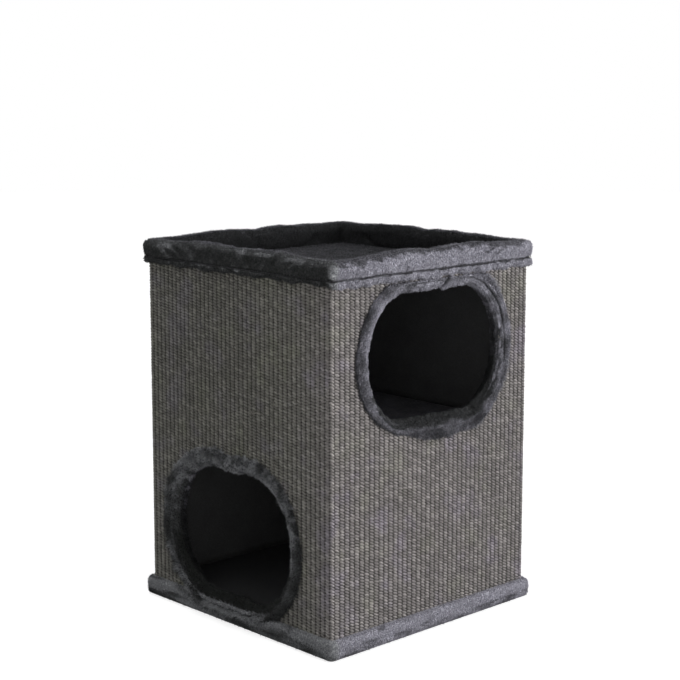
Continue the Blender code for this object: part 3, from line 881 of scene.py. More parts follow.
@dataclass(frozen=True)
class SquareCourse:
    """A level course round the tower: a square with round corners, from a start on the back, past the left side."""

    half: float
    corner: float
    start: float = 0.109

    @property
    def flat(self) -> float:
        """The straight length of one side."""
        return 2 * (self.half - self.corner)

    @property
    def turn(self) -> float:
        """The length of one corner's arc."""
        return math.pi / 2 * self.corner

    @property
    def length(self) -> float:
        """The whole length."""
        return 4 * (self.flat + self.turn)

    @property
    def lead(self) -> float:
        """How much of the back's straight stretch lies before the start."""
        return self.half - self.corner - self.start

    def middle_of(self, side: Side) -> float:
        """How far along the course the middle of a side is."""
        return (side.value * (self.flat + self.turn) + self.flat / 2 - self.lead) % self.length

    def places(self, run: Points, out: Points | float, height: Points | float) -> Points:
        """Places along the course.

        Args:
            run: How far along the course each place is.
            out: How far outside the course it is.
            height: Its height.

        Returns:
            The places, one row for each.
        """
        run = np.asarray(run, dtype=float)
        ahead = (run + self.half - self.corner - self.start) % self.length
        side = np.minimum((ahead // (self.flat + self.turn)).astype(int), 3)
        rest = ahead - side * (self.flat + self.turn)
        straight = np.minimum(rest, self.flat)
        angle = np.maximum(rest - self.flat, 0) / self.corner
        forward = np.array([(-1, 0), (0, -1), (1, 0), (0, 1)])[side]
        outward = np.array([(0, 1), (-1, 0), (0, -1), (1, 0)])[side]
        away = outward * np.cos(angle)[:, None] + forward * np.sin(angle)[:, None]
        inner = self.half - self.corner
        plan = outward * inner + forward * (straight - inner)[:, None]
        plan = plan + away * (self.corner + np.broadcast_to(out, run.shape))[:, None]
        return np.column_stack([plan, np.broadcast_to(height, run.shape)])

    def stops(self, step: float, turns: int = 4) -> Points:
        """Distances along the course, a step apart on the sides and closer at the corners."""
        marks = [0.0, self.length] + self._marks(5, math.ceil(self.flat / step), turns)
        inside = sorted(mark for mark in marks if -1e-9 <= mark <= self.length + 1e-9)
        kept = [inside[0]]
        for mark in inside[1:]:
            if mark - kept[-1] > 0.0008:
                kept.append(mark)
        kept[-1] = self.length
        return np.array(kept)

    def _marks(self, sides: int, flat_steps: int, turn_steps: int) -> list[float]:
        """Distances along the course, with the same count on each side and in each corner whatever its size."""
        marks = []
        for side in range(sides):
            begin = side * (self.flat + self.turn) - self.lead
            marks += [begin + self.flat * number / flat_steps for number in range(flat_steps)]
            marks += [begin + self.flat + self.turn * number / turn_steps for number in range(turn_steps)]
        return marks

    def ring(self, height: float, flat_steps: int, turn_steps: int) -> Points:
        """A closed level ring with the same count of points whatever its size."""
        return self.places(np.array(self._marks(4, flat_steps, turn_steps)), 0.0, height)


def square_rows(section: Points, outer: SquareCourse, tightest: float, flat_steps: int, turn_steps: int) -> Points:
    """Sweeps a section round the tower's square plan.

    Args:
        section: Points as rows of (reach on the plan, height).
        outer: The course of the outer faces.
        tightest: The least radius of a corner further in.
        flat_steps: The count of steps on each side.
        turn_steps: The count of steps in each corner.

    Returns:
        The places, as (row, place round the ring, 3).
    """
    rings = []
    for reach, height in section:
        tight = max(outer.corner - (outer.half - reach), tightest)
        rings.append(SquareCourse(reach, min(tight, reach * 0.5)).ring(height, flat_steps, turn_steps))
    return np.array(rings)


@dataclass(frozen=True)
class DoorShape:
    """A doorway: flat above and below, with half ellipses for its ends, as the finished trim leaves it."""

    name: str
    side: Side
    width: float
    end: float
    offset: float
    sill: float
    head: float

    @property
    def flat(self) -> float:
        """Half the length of the flat stretch."""
        return self.width / 2 - self.end

    @property
    def middle(self) -> float:
        """The height of its middle."""
        return (self.sill + self.head) / 2

    @property
    def half_height(self) -> float:
        """Half its height."""
        return (self.head - self.sill) / 2

    @property
    def axis(self) -> int:
        """The axis across its wall, as an index."""
        return 1 if self.side is Side.FRONT else 0

    def run_on(self, course: SquareCourse) -> float:
        """How far along a course its middle is."""
        return course.middle_of(self.side) + self.offset

    def hole_area(self) -> float:
        """The area of the hole in the wall, the mat and the lining."""
        rise = self.half_height + HOLE_GROWTH
        return 4 * self.flat * rise + math.pi * (self.end + HOLE_GROWTH) * rise

    def holds(self, across: Points, up: Points, growth: float) -> Points:
        """Whether places on the wall, measured from the doorway's middle, lie in the grown opening."""
        past = np.maximum(np.abs(across) - self.flat, 0) / (self.end + growth)
        return past**2 + (up / (self.half_height + growth)) ** 2 < 1

    def stations(self, count: int) -> tuple[Points, Points]:
        """Evenly spaced stations round the outline, as the flat's shift and the ellipse's angle."""
        quarter = math.pi / 2
        legs = [(-self.flat, self.flat, -quarter, -quarter), (self.flat, self.flat, -quarter, quarter)]
        legs += [(self.flat, -self.flat, quarter, quarter), (-self.flat, -self.flat, quarter, 3 * quarter)]
        shift, angle = (
            np.concatenate([np.linspace(leg[first], leg[first + 1], 200, endpoint=False) for leg in legs])
            for first in (0, 2)
        )
        across, up = self.outline(shift, angle, 0.010)
        steps = np.hypot(np.diff(across, append=across[0]), np.diff(up, append=up[0]))
        walked = np.concatenate([[0.0], np.cumsum(steps)])
        wanted = np.linspace(0.0, walked[-1], count, endpoint=False)
        shift, angle = np.append(shift, -self.flat), np.append(angle, 3 * quarter)
        return np.interp(wanted, walked, shift), np.interp(wanted, walked, angle)

    def outline(self, shift: Points, angle: Points, growth: Points | float) -> tuple[Points, Points]:
        """Places on the grown outline, measured from its middle."""
        return shift + (self.end + growth) * np.cos(angle), (self.half_height + growth) * np.sin(angle)

    def growth_at(self, across: Points, up: Points) -> Points:
        """How far outside the finished opening places on the wall lie, measured from its middle."""
        past, rise = np.maximum(abs(across) - self.flat, 0.0), abs(up)
        distance = np.maximum(np.hypot(past, rise), 1e-6)
        return distance - distance / np.hypot(past / self.end, rise / self.half_height)

    def turn_at(self, across: Points, up: Points) -> Points:
        """The way from the doorway's middle line to each place, in degrees from level."""
        return np.degrees(np.arctan2(up, np.sign(across) * np.maximum(abs(across) - self.flat, 0)))

    def inwards(self, across: Points, up: Points) -> tuple[Points, Points]:
        """The way from the outline into the doorway at each place, as its parts across and up."""
        past = np.sign(across) * np.maximum(abs(across) - self.flat, 0) / self.end**2
        rise = up / self.half_height**2
        length = np.maximum(np.hypot(past, rise), 1e-6)
        return -past / length, -rise / length

    def ring(self, stations: tuple[Points, Points], growth: Points | float, out: float) -> Points:
        """The outline in the tower's own space.

        Args:
            stations: The stations that stations() gives.
            growth: How far outside the finished opening the ring lies on the wall.
            out: How far it stands out of the mat.

        Returns:
            The ring's places.
        """
        return self.on_wall(*self.outline(*stations, growth), out)

    def on_wall(self, across: Points, up: Points, out: Points | float) -> Points:
        """Turns places measured from the doorway's middle into places in space."""
        face = -(MAT_HALF + np.broadcast_to(out, across.shape))
        if self.side is Side.FRONT:
            return np.column_stack([self.offset + across, face, self.middle + up])
        return np.column_stack([face, -(self.offset + across), self.middle + up])

    def from_wall(self, places: Points) -> tuple[Points, Points, Points]:
        """Turns places in space into across, up and out, measured from the doorway's middle and the mat."""
        across = places[:, 0] if self.side is Side.FRONT else -places[:, 1]
        return across - self.offset, places[:, 2] - self.middle, -places[:, self.axis] - MAT_HALF


def wrapped_sheet(
    name: str,
    course: SquareCourse,
    low: float,
    high: float,
    doors: Sequence[DoorShape],
    step: float,
    thickness: float,
    slack: float,
) -> Piece:
    """A sheet wrapped round a square course, with a hole for each doorway and its two ends meeting at a seam.

    Args:
        name: The piece's name.
        course: The course of the sheet's middle.
        low: The height of its lower edge.
        high: The height of its upper edge.
        doors: The doorways that it leaves open.
        step: The size of its net.
        thickness: Its thickness.
        slack: How far its face may wander.

    Returns:
        The closed sheet.
    """
    levels = np.linspace(low, high, max(2, round((high - low) / step)) + 1)
    runs = course.stops(step)
    runs[0], runs[-1] = HAIR_GAP, course.length - HAIR_GAP
    grid_run, grid_up = (values.ravel() for values in np.meshgrid(runs, levels, indexing="ij"))
    keep = np.ones(grid_run.shape, dtype=bool)
    outlines, edges = [], []
    for door in doors:
        centre = door.run_on(course)
        keep &= ~door.holds(grid_run - centre, grid_up - door.middle, HOLE_GROWTH + 0.45 * step)
        across, up = door.outline(*door.stations(72), HOLE_GROWTH)
        outlines.append(np.column_stack([centre + across, door.middle + up]))
    points = [Vector(place) for place in np.column_stack([grid_run, grid_up])[keep].tolist()]
    for outline in outlines:
        first = len(points)
        points += [Vector(place) for place in outline.tolist()]
        edges += [(first + n, first + (n + 1) % len(outline)) for n in range(len(outline))]
    flat, _, triangles, *_ = geometry.delaunay_2d_cdt(points, edges, [], 0, 1e-6)
    places = np.array([tuple(place) for place in flat])
    faces = np.array(triangles)
    middle = places[faces].mean(axis=1)
    solid = np.ones(len(faces), dtype=bool)
    for door in doors:
        solid &= ~door.holds(middle[:, 0] - door.run_on(course), middle[:, 1] - door.middle, HOLE_GROWTH - 0.0002)
    mesh = bpy.data.meshes.new(name)
    wander = slack * rumple(np.column_stack([places, np.zeros(len(places))]), 26.0, 5.0)
    mesh.from_pydata(course.places(places[:, 0], wander - slack, places[:, 1]).tolist(), [], faces[solid].tolist())
    mesh.validate()
    mesh.shade_smooth()
    shape = bmesh.new()
    shape.from_mesh(mesh)
    bmesh.ops.delete(shape, geom=[vert for vert in shape.verts if not vert.link_faces], context="VERTS")
    shape.to_mesh(mesh)
    shape.free()
    return thickened(put(name, mesh), thickness, 0.0)


def deck_sheet(name: str, half: float, bottom: float, thickness: float, step: float, wave: float, seed: float) -> Piece:
    """A level square sheet with a slightly uneven upper face and a closed edge.

    Args:
        name: The piece's name.
        half: Half its side.
        bottom: The height of its lower face.
        thickness: Its thickness.
        step: The size of its net.
        wave: How far the faces wander.
        seed: Sets the wandering.

    Returns:
        The closed sheet.
    """
    count = round(2 * half / step)
    marks = np.linspace(-half, half, count + 1)
    x, y = (values.ravel() for values in np.meshgrid(marks, marks, indexing="ij"))
    places = np.column_stack([x, y, np.full(x.shape, bottom + thickness)])
    calm = np.clip((half - square_reach(places)) / 0.03, 0, 1)
    places[:, 2] -= wave * (0.5 + 0.5 * rumple(places, 19.0, seed)) * calm
    side = count + 1
    first = (np.arange(count)[:, None] * side + np.arange(count)).ravel()
    faces = np.column_stack([first, first + side, first + side + 1, first + 1])
    mesh = bpy.data.meshes.new(name)
    mesh.from_pydata(places.tolist(), [], faces.tolist())
    mesh.shade_smooth()
    piece = thickened(put(name, mesh), thickness - wave, -1.0)
    piece.data.set_sharp_from_angle(angle=math.radians(50))
    return piece


# ----- padding and its pile


@dataclass(frozen=True)
class Stuffing:
    """How a padded skin swells when air is let into it.

    The skin starts a little smaller than the finished piece, is held where it is glued or sewn, and its cloth is
    cut a little too large, so that it bulges between the places where it is held.
    """

    cap: float
    spare_cloth: float
    pressure: float = 4.0
    start_inside: float = 0.0015
    frames: int = 20

    def fill(self, piece: Piece, held: Points) -> None:
        """Swells a closed skin and leaves the result in its mesh.

        Args:
            piece: The closed skin.
            held: For each vertex, 1 where it is held and 0 where it is free.
        """
        mesh = piece.data
        free = held < 0.5
        before = coordinates(mesh) - facing(mesh) * (self.start_inside * free)[:, None]
        settle(mesh, before)
        group = piece.vertex_groups.new(name="held")
        group.add(np.flatnonzero(~free).tolist(), 1.0, "REPLACE")
        cloth = piece.modifiers.new("air", "CLOTH")
        settings = cloth.settings
        settings.quality, settings.mass = 5, 0.2
        settings.tension_stiffness = settings.compression_stiffness = 12.0
        settings.shear_stiffness, settings.bending_stiffness = 5.0, 0.3
        settings.use_pressure, settings.uniform_pressure_force = True, self.pressure
        settings.vertex_group_mass, settings.shrink_min = group.name, -self.spare_cloth
        settings.effector_weights.gravity = 0.0
        cloth.collision_settings.use_collision = False
        cloth.point_cache.frame_start, cloth.point_cache.frame_end = 1, self.frames
        scene = bpy.context.scene
        for number in range(1, self.frames + 1):
            scene.frame_set(number)
        swollen = piece.evaluated_get(bpy.context.evaluated_depsgraph_get())
        moved = coordinates(swollen.data) - before
        piece.modifiers.remove(cloth)
        piece.vertex_groups.remove(group)
        scene.frame_set(1)
        distance = np.linalg.norm(moved, axis=1, keepdims=True)
        moved *= np.minimum(1.0, self.cap / np.maximum(distance, 1e-9))
        log.info("%s swelled by up to %.1f mm", piece.name, distance.max() * 1000)
        settle(mesh, before + moved)


@dataclass(frozen=True)
class Pile:
    """The short pile of plush, as many small leaning tufts."""

    density: float = 420000.0
    length: float = 0.0038
    width: float = 0.00070
    lean: float = 0.9
    ruffle: float = 1.2
    seed: int = 7

    @staticmethod
    def recipe() -> Recipe:
        """The tree that plants tufts on a skin where its attribute "pile" lets them grow."""
        r = Recipe("plush pile")
        density, length, width, lean, ruffle = r.dials(
            Dial.NUMBER, "Density", "Tuft Length", "Tuft Width", "Lean", "Ruffle"
        )
        lay, material = r.dial("Lay", Dial.ARROW), r.dial("Material", Dial.MATERIAL)
        seed, columns = r.dials(Dial.WHOLE, "Seed", "Map Columns")
        points, normal = r.scatter(density * r.kept("pile"), seed)
        index = r.result("GeometryNodeInputIndex")
        points = r.keep(points, "shade", r.chance(0.0, 1.0, seed, 11))
        cell = r.join(r.maths("MODULO", index, columns), (index / columns).whole())
        points = r.keep(points, "cell", cell, "FLOAT_VECTOR")
        place, grey = r.spot(), (0.5, 0.5, 0.5)
        swirl = r.vectors("SUBTRACT", r.cloud(place, 62.0, 2.0, 0.6, "Color"), grey)
        jitter = r.vectors("SUBTRACT", r.cloud(place, 430.0, 1.0, 0.5, "Color"), grey)
        drift = r.vectors("ADD", r.stretched(swirl, 3.6), r.stretched(jitter, 2.2))
        push = r.vectors("ADD", r.stretched(lay, lean), r.stretched(drift, ruffle))
        level = r.vectors("SUBTRACT", push, r.stretched(normal, r.vectors("DOT_PRODUCT", push, normal)))
        spun = r.join(0.0, 0.0, r.chance(0.0, math.tau, seed, 23))
        turned = r.aimed("Z", r.vectors("ADD", normal, level), spun)
        shape = {"Vertices": 3, "Side Segments": 1, "Fill Segments": 1}
        sizes = {"Radius Top": 0.0, "Radius Bottom": width, "Depth": length}
        cone = r.node("GeometryNodeMeshCone", {"fill_type": "NGON"}, shape | sizes)
        _, _, rise = r.parts(place)
        tuft = r.keep(r.wire(cone, "Mesh"), "tip", rise / length)
        tuft = r.keep(tuft, "tuft_map", r.wire(cone, "UV Map"), "FLOAT2", "CORNER")
        sunk = r.transformed(tuft, Translation=(0.0, 0.0, -0.0003))
        size = r.chance(0.75, 1.2, seed, 31)
        scale = r.join(size, size, r.kept("trim") * r.chance(0.55, 1.25, seed, 37))
        grown = r.planted(points, sunk, turned, scale, material)
        u, v, _ = r.parts(r.kept("tuft_map", "FLOAT_VECTOR"))
        r.ends_in(r.charted(grown, (u, v), (columns, columns), 0.08))
        return r

    def grow(
        self, recipe: Recipe, skin: Piece, name: str, lay: tuple[float, float, float], material: Material
    ) -> Piece:
        """Plants the pile on a skin.

        Args:
            recipe: The tree from recipe().
            skin: The skin, with its attribute "pile".
            name: The new piece's name.
            lay: The direction in which the pile lies.
            material: What the tufts are made of.

        Returns:
            The tufts, as one piece.
        """
        mesh = skin.data
        if "trim" not in mesh.attributes:
            paint(mesh, trim=1.0)
        mesh.calc_loop_triangles()
        places, weight = coordinates(mesh), painted(mesh, "pile")
        corners = np.array([tuple(triangle.vertices) for triangle in mesh.loop_triangles])
        a, b, c = places[corners[:, 0]], places[corners[:, 1]], places[corners[:, 2]]
        area = np.linalg.norm(np.cross(b - a, c - a), axis=1) / 2
        tufts = float((area * weight[corners].mean(axis=1)).sum()) * self.density
        dials = {"Density": self.density, "Tuft Length": self.length, "Tuft Width": self.width, "Lean": self.lean}
        dials |= {"Lay": lay, "Ruffle": self.ruffle, "Seed": self.seed, "Material": material}
        dials["Map Columns"] = math.ceil(math.sqrt(tufts * 1.05)) + 2
        piece = recipe.run(skin, name, dials)
        strip(piece, "pile", "trim", "tuft_map", "cell")
        log.info("%s: %d tufts", name, len(piece.data.vertices) // 4)
        return piece


# ----- sub-assemblies


@dataclass
class Palette:
    """Every material of the tower, made once."""

    plush: Material = field(default_factory=PlushFinish().material)
    sisal: Material = field(default_factory=SisalFinish().material)
    fibre: Material = field(default_factory=LOOSE_HAIR.material)
    ground: Material = field(default_factory=BackingFinish().material)
    felt: Material = field(default_factory=FeltFinish().material)
    board: Material = field(default_factory=BoardFinish().material)
    zinc: Material = field(default_factory=ZINC.material)
    thread: Material = field(default_factory=THREAD.material)


def deliver(
    piece: Piece, slot: str, material: Material | None = None, stands_for: Sequence[str] = ()
) -> None:
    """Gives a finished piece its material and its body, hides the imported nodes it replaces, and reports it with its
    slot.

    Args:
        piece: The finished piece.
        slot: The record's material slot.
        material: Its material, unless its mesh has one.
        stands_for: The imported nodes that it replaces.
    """
    if material is not None:
        piece.data.materials.clear()
        piece.data.materials.append(material)
    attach(piece, "root")
    if stands_for:
        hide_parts(*stands_for)
    piece.data.calc_loop_triangles()
    log.info("piece %s: %d triangles, %s", piece.name, len(piece.data.loop_triangles), slot)


@dataclass
class Carcass:
    """The boards and the screws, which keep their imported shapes."""

    board_ends: tuple[str, ...] = ("_board", "_wall")
    screw_mark: str = "_screw_"

    def dress(self, palette: Palette) -> None:
        """Gives the boards and the screws their materials."""
        for name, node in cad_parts.items():
            if not (name.endswith(self.board_ends) or self.screw_mark in name):
                continue
            for slot in node.material_slots:
                slot.material = palette.zinc if self.screw_mark in name else palette.board
            log.info("piece %s keeps its packed shape", name)


@dataclass
class Base:
    """The plush that wraps the base board and turns under it as a hem."""

    half: float = 0.2275
    top: float = 0.0306
    corner: float = 0.012
    rounding: float = 0.008
    hem: float = 0.040
    screw_bore: float = 0.0043
    bore_depth: float = 0.0105
    screws: int = 8

    def build(self) -> Piece:
        """The cover: one skin from the hem under the board to the cave's floor, with its thickness."""
        bent = [
            (self.half - self.hem, 0.0, 0.0),
            (self.half, 0.0, self.rounding),
            (self.half, self.top, self.rounding),
            (0.205, self.top, 0.0),
        ]
        section = np.vstack([run_through(bent, 0.0028), (0.006, self.top)])
        rows = square_rows(section, SquareCourse(self.half, self.corner), 0.002, 96, 6)
        piece = swept_skin("base_plush", rows, joined=False, bands=2, capped=True)
        mesh = piece.data
        places = coordinates(mesh)
        outside = np.clip((square_reach(places) - MAT_HALF) / 0.004, 0, 1) * np.clip(places[:, 2] / 0.006, 0, 1)
        lumps = rumples(places, (0.6, 24.0, 2.0), (0.4, 70.0, 3.0))
        lift = 0.0011 * lumps - 0.0006 - 0.0011 * self._fold(places)
        settle(mesh, places + facing(mesh) * (lift * outside)[:, None])
        paint(mesh, pile=outside * np.clip((places[:, 2] - 0.0022) / 0.003, 0, 1))
        thickened(piece, PLUSH_THICKNESS - HAIR_GAP, -1.0)
        self._bore(piece)
        self._brush_and_shade(piece.data)
        return piece

    def _fold(self, places: Points) -> Points:
        """A shallow fold that wanders along the middle of the base's sides, as 1 on its line."""
        plan = places * LEVEL
        level = 0.0125 + rumples(plan, (0.0040, 9.0, 53.0), (0.0012, 40.0, 54.0))
        return bell(places[:, 2] - level, 0.0018) * eased(rumple(plan, 5.0, 55.0), -0.35, 0.15)

    def _brush_and_shade(self, mesh: Mesh) -> None:
        """Paints painted light to the front and right and painted shade to the left and back, darker towards the floor
        and in the fold, with a painted highlight along the left side's upper edge and black painted shade on the cave's
        floor.
        """
        places = coordinates(mesh)
        # painted light to the front and right, painted shade to the left and back
        nap = brushed_and_shaded(mesh, {Side.FRONT: 1.20, Side.RIGHT: 0.95, Side.LEFT: 0.90, Side.BACK: 0.62}, 1.10, 0.0, 0.0)
        drawn = places * np.array((0.4, 0.4, 2.4))
        # painted shade: darker towards the floor
        nap *= 0.46 + 0.90 * eased(places[:, 2] + 0.006 * rumple(places, 30.0, 51.0), 0.003, 0.027)
        nap *= 1.0 + 0.90 * rumple(drawn, 70.0, 52.0)
        # painted shade in the fold
        nap *= 1.0 - 0.55 * self._fold(places)
        # painted shade on the left side, in patches and darker towards the back, with a painted highlight along its
        # upper edge
        left = 0.65 + 1.5 * eased(rumple(drawn, 34.0, 57.0), -0.10, 0.35) - 0.5 * eased(places[:, 1], 0.07, 0.17)
        edge = bell(places[:, 2] - 0.0262 + 0.003 * rumple(places, 22.0, 58.0), 0.0026)
        left = np.maximum(left, 0.3) + 1.6 * edge * eased(rumple(drawn, 20.0, 59.0), -0.15, 0.2) * (places[:, 1] < 0.09)
        nap *= np.where(places[:, 0] < -MAT_HALF, left, 1.0)
        # painted shade: black inside the cave
        nap *= eased(square_reach(places), MAT_HALF - 0.006, MAT_HALF - 0.001)
        paint(mesh, nap=nap, tip=0.35, shade=0.5, drawn=1.0)

    def _bore(self, piece: Piece) -> None:
        """Cuts the holes through which the base's screws are driven."""
        shape = bmesh.new()
        size = {"radius1": self.screw_bore, "radius2": self.screw_bore, "depth": self.bore_depth}
        for number in range(1, self.screws + 1):
            low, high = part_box(f"base_screw_{number}")
            spot = Matrix.Translation(((low[0] + high[0]) / 2, (low[1] + high[1]) / 2, 0.0))
            bmesh.ops.create_cone(shape, cap_ends=True, segments=20, matrix=spot, **size)
        cutter = put("screw_bores", mesh_from(shape, "screw bores"))
        cut = piece.modifiers.new("bored", "BOOLEAN")
        cut.operation, cut.solver, cut.object = "DIFFERENCE", "EXACT", cutter
        baked(piece)
        bpy.data.objects.remove(cutter)

    def dress(self, palette: Palette, piles: Recipe) -> None:
        """Builds the cover and its pile and hands them over."""
        cover = self.build()
        tufts = Pile(seed=3, length=0.0033).grow(piles, cover, "base_pile", (0.0, 0.0, -0.6), palette.plush)
        places = coordinates(tufts.data)
        places[:, 2] = np.maximum(places[:, 2], HAIR_GAP)
        settle(tufts.data, places)
        deliver(cover, "plush", palette.plush, ("base_cover",))
        deliver(tufts, "plush")


@dataclass
class Mat:
    """The woven mat: a thin ground sheet and the stitches that stand on it."""

    doors: tuple[DoorShape, ...]
    course: SquareCourse = SquareCourse(MAT_HALF, 0.005)
    low: float = 0.0309
    high: float = 0.5854
    ground_in: float = 0.0030
    ground_thickness: float = 0.0018
    stitch_depth: float = 0.0015
    columns: int = 170
    rows: int = 118

    def ground(self) -> Piece:
        """The sheet that carries the stitches."""
        course = SquareCourse(self.course.half - self.ground_in, self.course.corner - self.ground_in)
        return wrapped_sheet("mat_ground", course, self.low, self.high, self.doors, 0.010, self.ground_thickness, 0.0)

    @staticmethod
    def recipe() -> Recipe:
        """The tree that lays stitches in columns and rows along a course and leaves the doorways open."""
        r = Recipe("mat stitches")
        columns, rows, first, whole, seed = r.dials(
            Dial.WHOLE, "Columns", "Rows", "First Column", "Columns Round", "Seed"
        )
        pitch, rise, low, top = r.dials(Dial.NUMBER, "Column Pitch", "Row Pitch", "Lower Edge", "Upper Edge")
        depth, drift, slant, uneven = r.dials(Dial.NUMBER, "Depth", "Row Drift", "Slant", "Unevenness")
        yarn, door, reach = r.dials(Dial.ARROW, "Yarn Size", "Door Middle", "Door Reach")
        material = r.dial("Material", Dial.MATERIAL)
        index = r.result("GeometryNodeInputIndex")
        column = (index / rows).whole()
        row = index - column * rows
        number = r.maths("MODULO", first + column, whole)
        run = (number + 0.5) * pitch
        up = low + (row - 1.0 + (number * drift).fraction()) * rise
        points = r.result("GeometryNodePoints", Count=columns * rows, Position=r.join(run, up))
        points = r.keep(points, "shade", r.chance(0.0, 1.0, seed, 5))
        points = r.keep(points, "cell", r.join(column, row), "FLOAT_VECTOR")
        middle_run, middle_up, _ = r.parts(door)
        flat, end, half = r.parts(reach)
        past = r.maths("MAXIMUM", r.maths("ABSOLUTE", run - middle_run) - flat, 0.0) / end
        height = (up - middle_up) / half
        inside = (past * past + height * height) < 1.0
        points = r.result("GeometryNodeDeleteGeometry", 0, {"domain": "POINT"}, Geometry=points, Selection=inside)
        ball, chart = r.ball()
        grain = r.keep(ball, "yarn", chart, "FLOAT2", "CORNER")
        grain = r.transformed(r.transformed(grain, Rotation=(0.0, math.pi / 2, 0.0)), Scale=yarn)

        def off(low: float, high: float, salt: int) -> Wire:
            """How far one stitch is off, by chance."""
            return r.chance(low, high, seed, salt) * uneven

        turned = r.join(off(-0.25, 0.25, 19), off(-0.06, 0.06, 29), slant + off(-0.09, 0.09, 13))
        scale = r.join(1.0, 1.0 + off(-0.16, 0.16, 17), 1.0 + off(-0.28, 0.22, 41))
        shape = r.planted(points, grain, turned, scale, material)
        along, height, out = r.parts(r.spot())
        height = height + 0.85 * r.maths("MAXIMUM", low - height, 0.0) - 0.85 * r.maths("MAXIMUM", height - top, 0.0)
        settings = {"mode": "LENGTH", "data_type": "FLOAT"}
        sample = r.node("GeometryNodeSampleCurve", settings, {"Curves": r.geometry(), "Length": along})
        outward = r.vectors("CROSS_PRODUCT", r.wire(sample, "Tangent"), (0.0, 0.0, 1.0))
        moved = r.vectors("ADD", r.wire(sample, "Position"), r.stretched(outward, out - depth))
        shape = r.shifted(shape, r.vectors("ADD", moved, r.join(0.0, 0.0, height)))
        u, v, _ = r.parts(r.kept("yarn", "FLOAT_VECTOR"))
        r.ends_in(r.charted(shape, (v, u), (columns, rows), 0.06))
        return r

    def stitches(self, material: Material) -> list[Piece]:
        """The four fields of stitches, one for each side."""
        recipe, carrier = self.recipe(), course_curve("mat_course", self.course, 0.0)
        dials = {"Rows": self.rows + 2, "Row Pitch": (self.high - self.low) / self.rows, "Row Drift": -0.23}
        dials |= {"Columns Round": self.columns, "Column Pitch": self.course.length / self.columns}
        dials |= {"Lower Edge": self.low, "Upper Edge": self.high}
        dials |= {"Depth": self.stitch_depth, "Unevenness": 1.0, "Material": material}
        grown = HOLE_GROWTH + 0.007
        made = []
        for side, first, count in zip(Side, (159, 32, 74, 117), (43, 42, 43, 42)):
            bright = side in (Side.FRONT, Side.RIGHT)
            dials |= {"Columns": count, "First Column": first, "Seed": 40 + side.value}
            dials |= {
                "Yarn Size": (0.0061 if bright else 0.0056, 0.00246, 0.0017),
                "Slant": math.radians(-23.5 if bright else -18.0),
                "Door Middle": (-9.0, -9.0, 0.0),
                "Door Reach": (0.0, 1.0, 1.0),
            }
            for door in self.doors:
                if door.side is side:
                    dials["Door Middle"] = (door.run_on(self.course), door.middle, 0.0)
                    dials["Door Reach"] = (door.flat, door.end + grown, door.half_height + grown)
            made.append(recipe.run(carrier, f"weave_{side.name.lower()}", dials))
        bpy.data.objects.remove(carrier)
        return made

    @staticmethod
    def fibres(ground: Piece, proud: float, material: Material) -> Piece:
        """Loose ends of sisal that have worked their way out of the mat, as thin bent hairs lying on it.

        Args:
            ground: The sheet that they are spread over.
            proud: How far the stitches' faces stand out of it.
            material: Their material.

        Returns:
            The hairs, as one piece.
        """
        r = Recipe("loose fibres")
        density, length, girth, lift = r.dials(Dial.NUMBER, "Density", "Length", "Girth", "Lift")
        seed, stuff = r.dial("Seed", Dial.WHOLE), r.dial("Material", Dial.MATERIAL)
        points, normal = r.scatter(density, seed)
        raised = r.vectors("ADD", r.spot(), r.stretched(normal, lift))
        bend = {"Start": (-0.5, 0.0, 0.0), "Middle": (0.0, 0.35, 0.12), "End": (0.5, 0.0, 0.0)}
        hair = r.result("GeometryNodeCurveQuadraticBezier", Resolution=6, **bend)
        profile = r.result("GeometryNodeCurvePrimitiveCircle", Resolution=4, Radius=1.0)
        tube = r.result(
            "GeometryNodeCurveToMesh", Curve=hair, Profile_Curve=profile, Fill_Caps=True, Scale=girth / length
        )
        turned = r.aimed("Z", normal, r.join(0.0, 0.0, r.chance(0.0, math.tau, seed, 3)))
        points = r.shifted(r.keep(points, "shade", r.chance(0.7, 1.0, seed, 7)), raised)
        size = length * r.chance(0.5, 1.3, seed, 9)
        r.ends_in(r.planted(points, tube, turned, r.join(size, size, size), stuff))
        dials = {"Density": 190.0, "Length": 0.011, "Girth": 0.00022, "Lift": proud, "Seed": 4, "Material": material}
        return r.run(ground, "mat_fibres", dials)

    def dress(self, palette: Palette) -> None:
        """Builds the mat and hands it over."""
        ground = self.ground()
        fields = self.stitches(palette.sisal)
        fields.append(self.fibres(ground, self.ground_in - self.ground_thickness / 2 + 0.0004, palette.fibre))
        deliver(ground, "woven_sisal", palette.ground, ("sisal_mat",))
        for piece in fields:
            strip(piece, "cell")
            deliver(piece, "woven_sisal")
        size = (self.course.length, self.high - self.low)
        area = size[0] * size[1] - sum(door.hole_area() for door in self.doors)


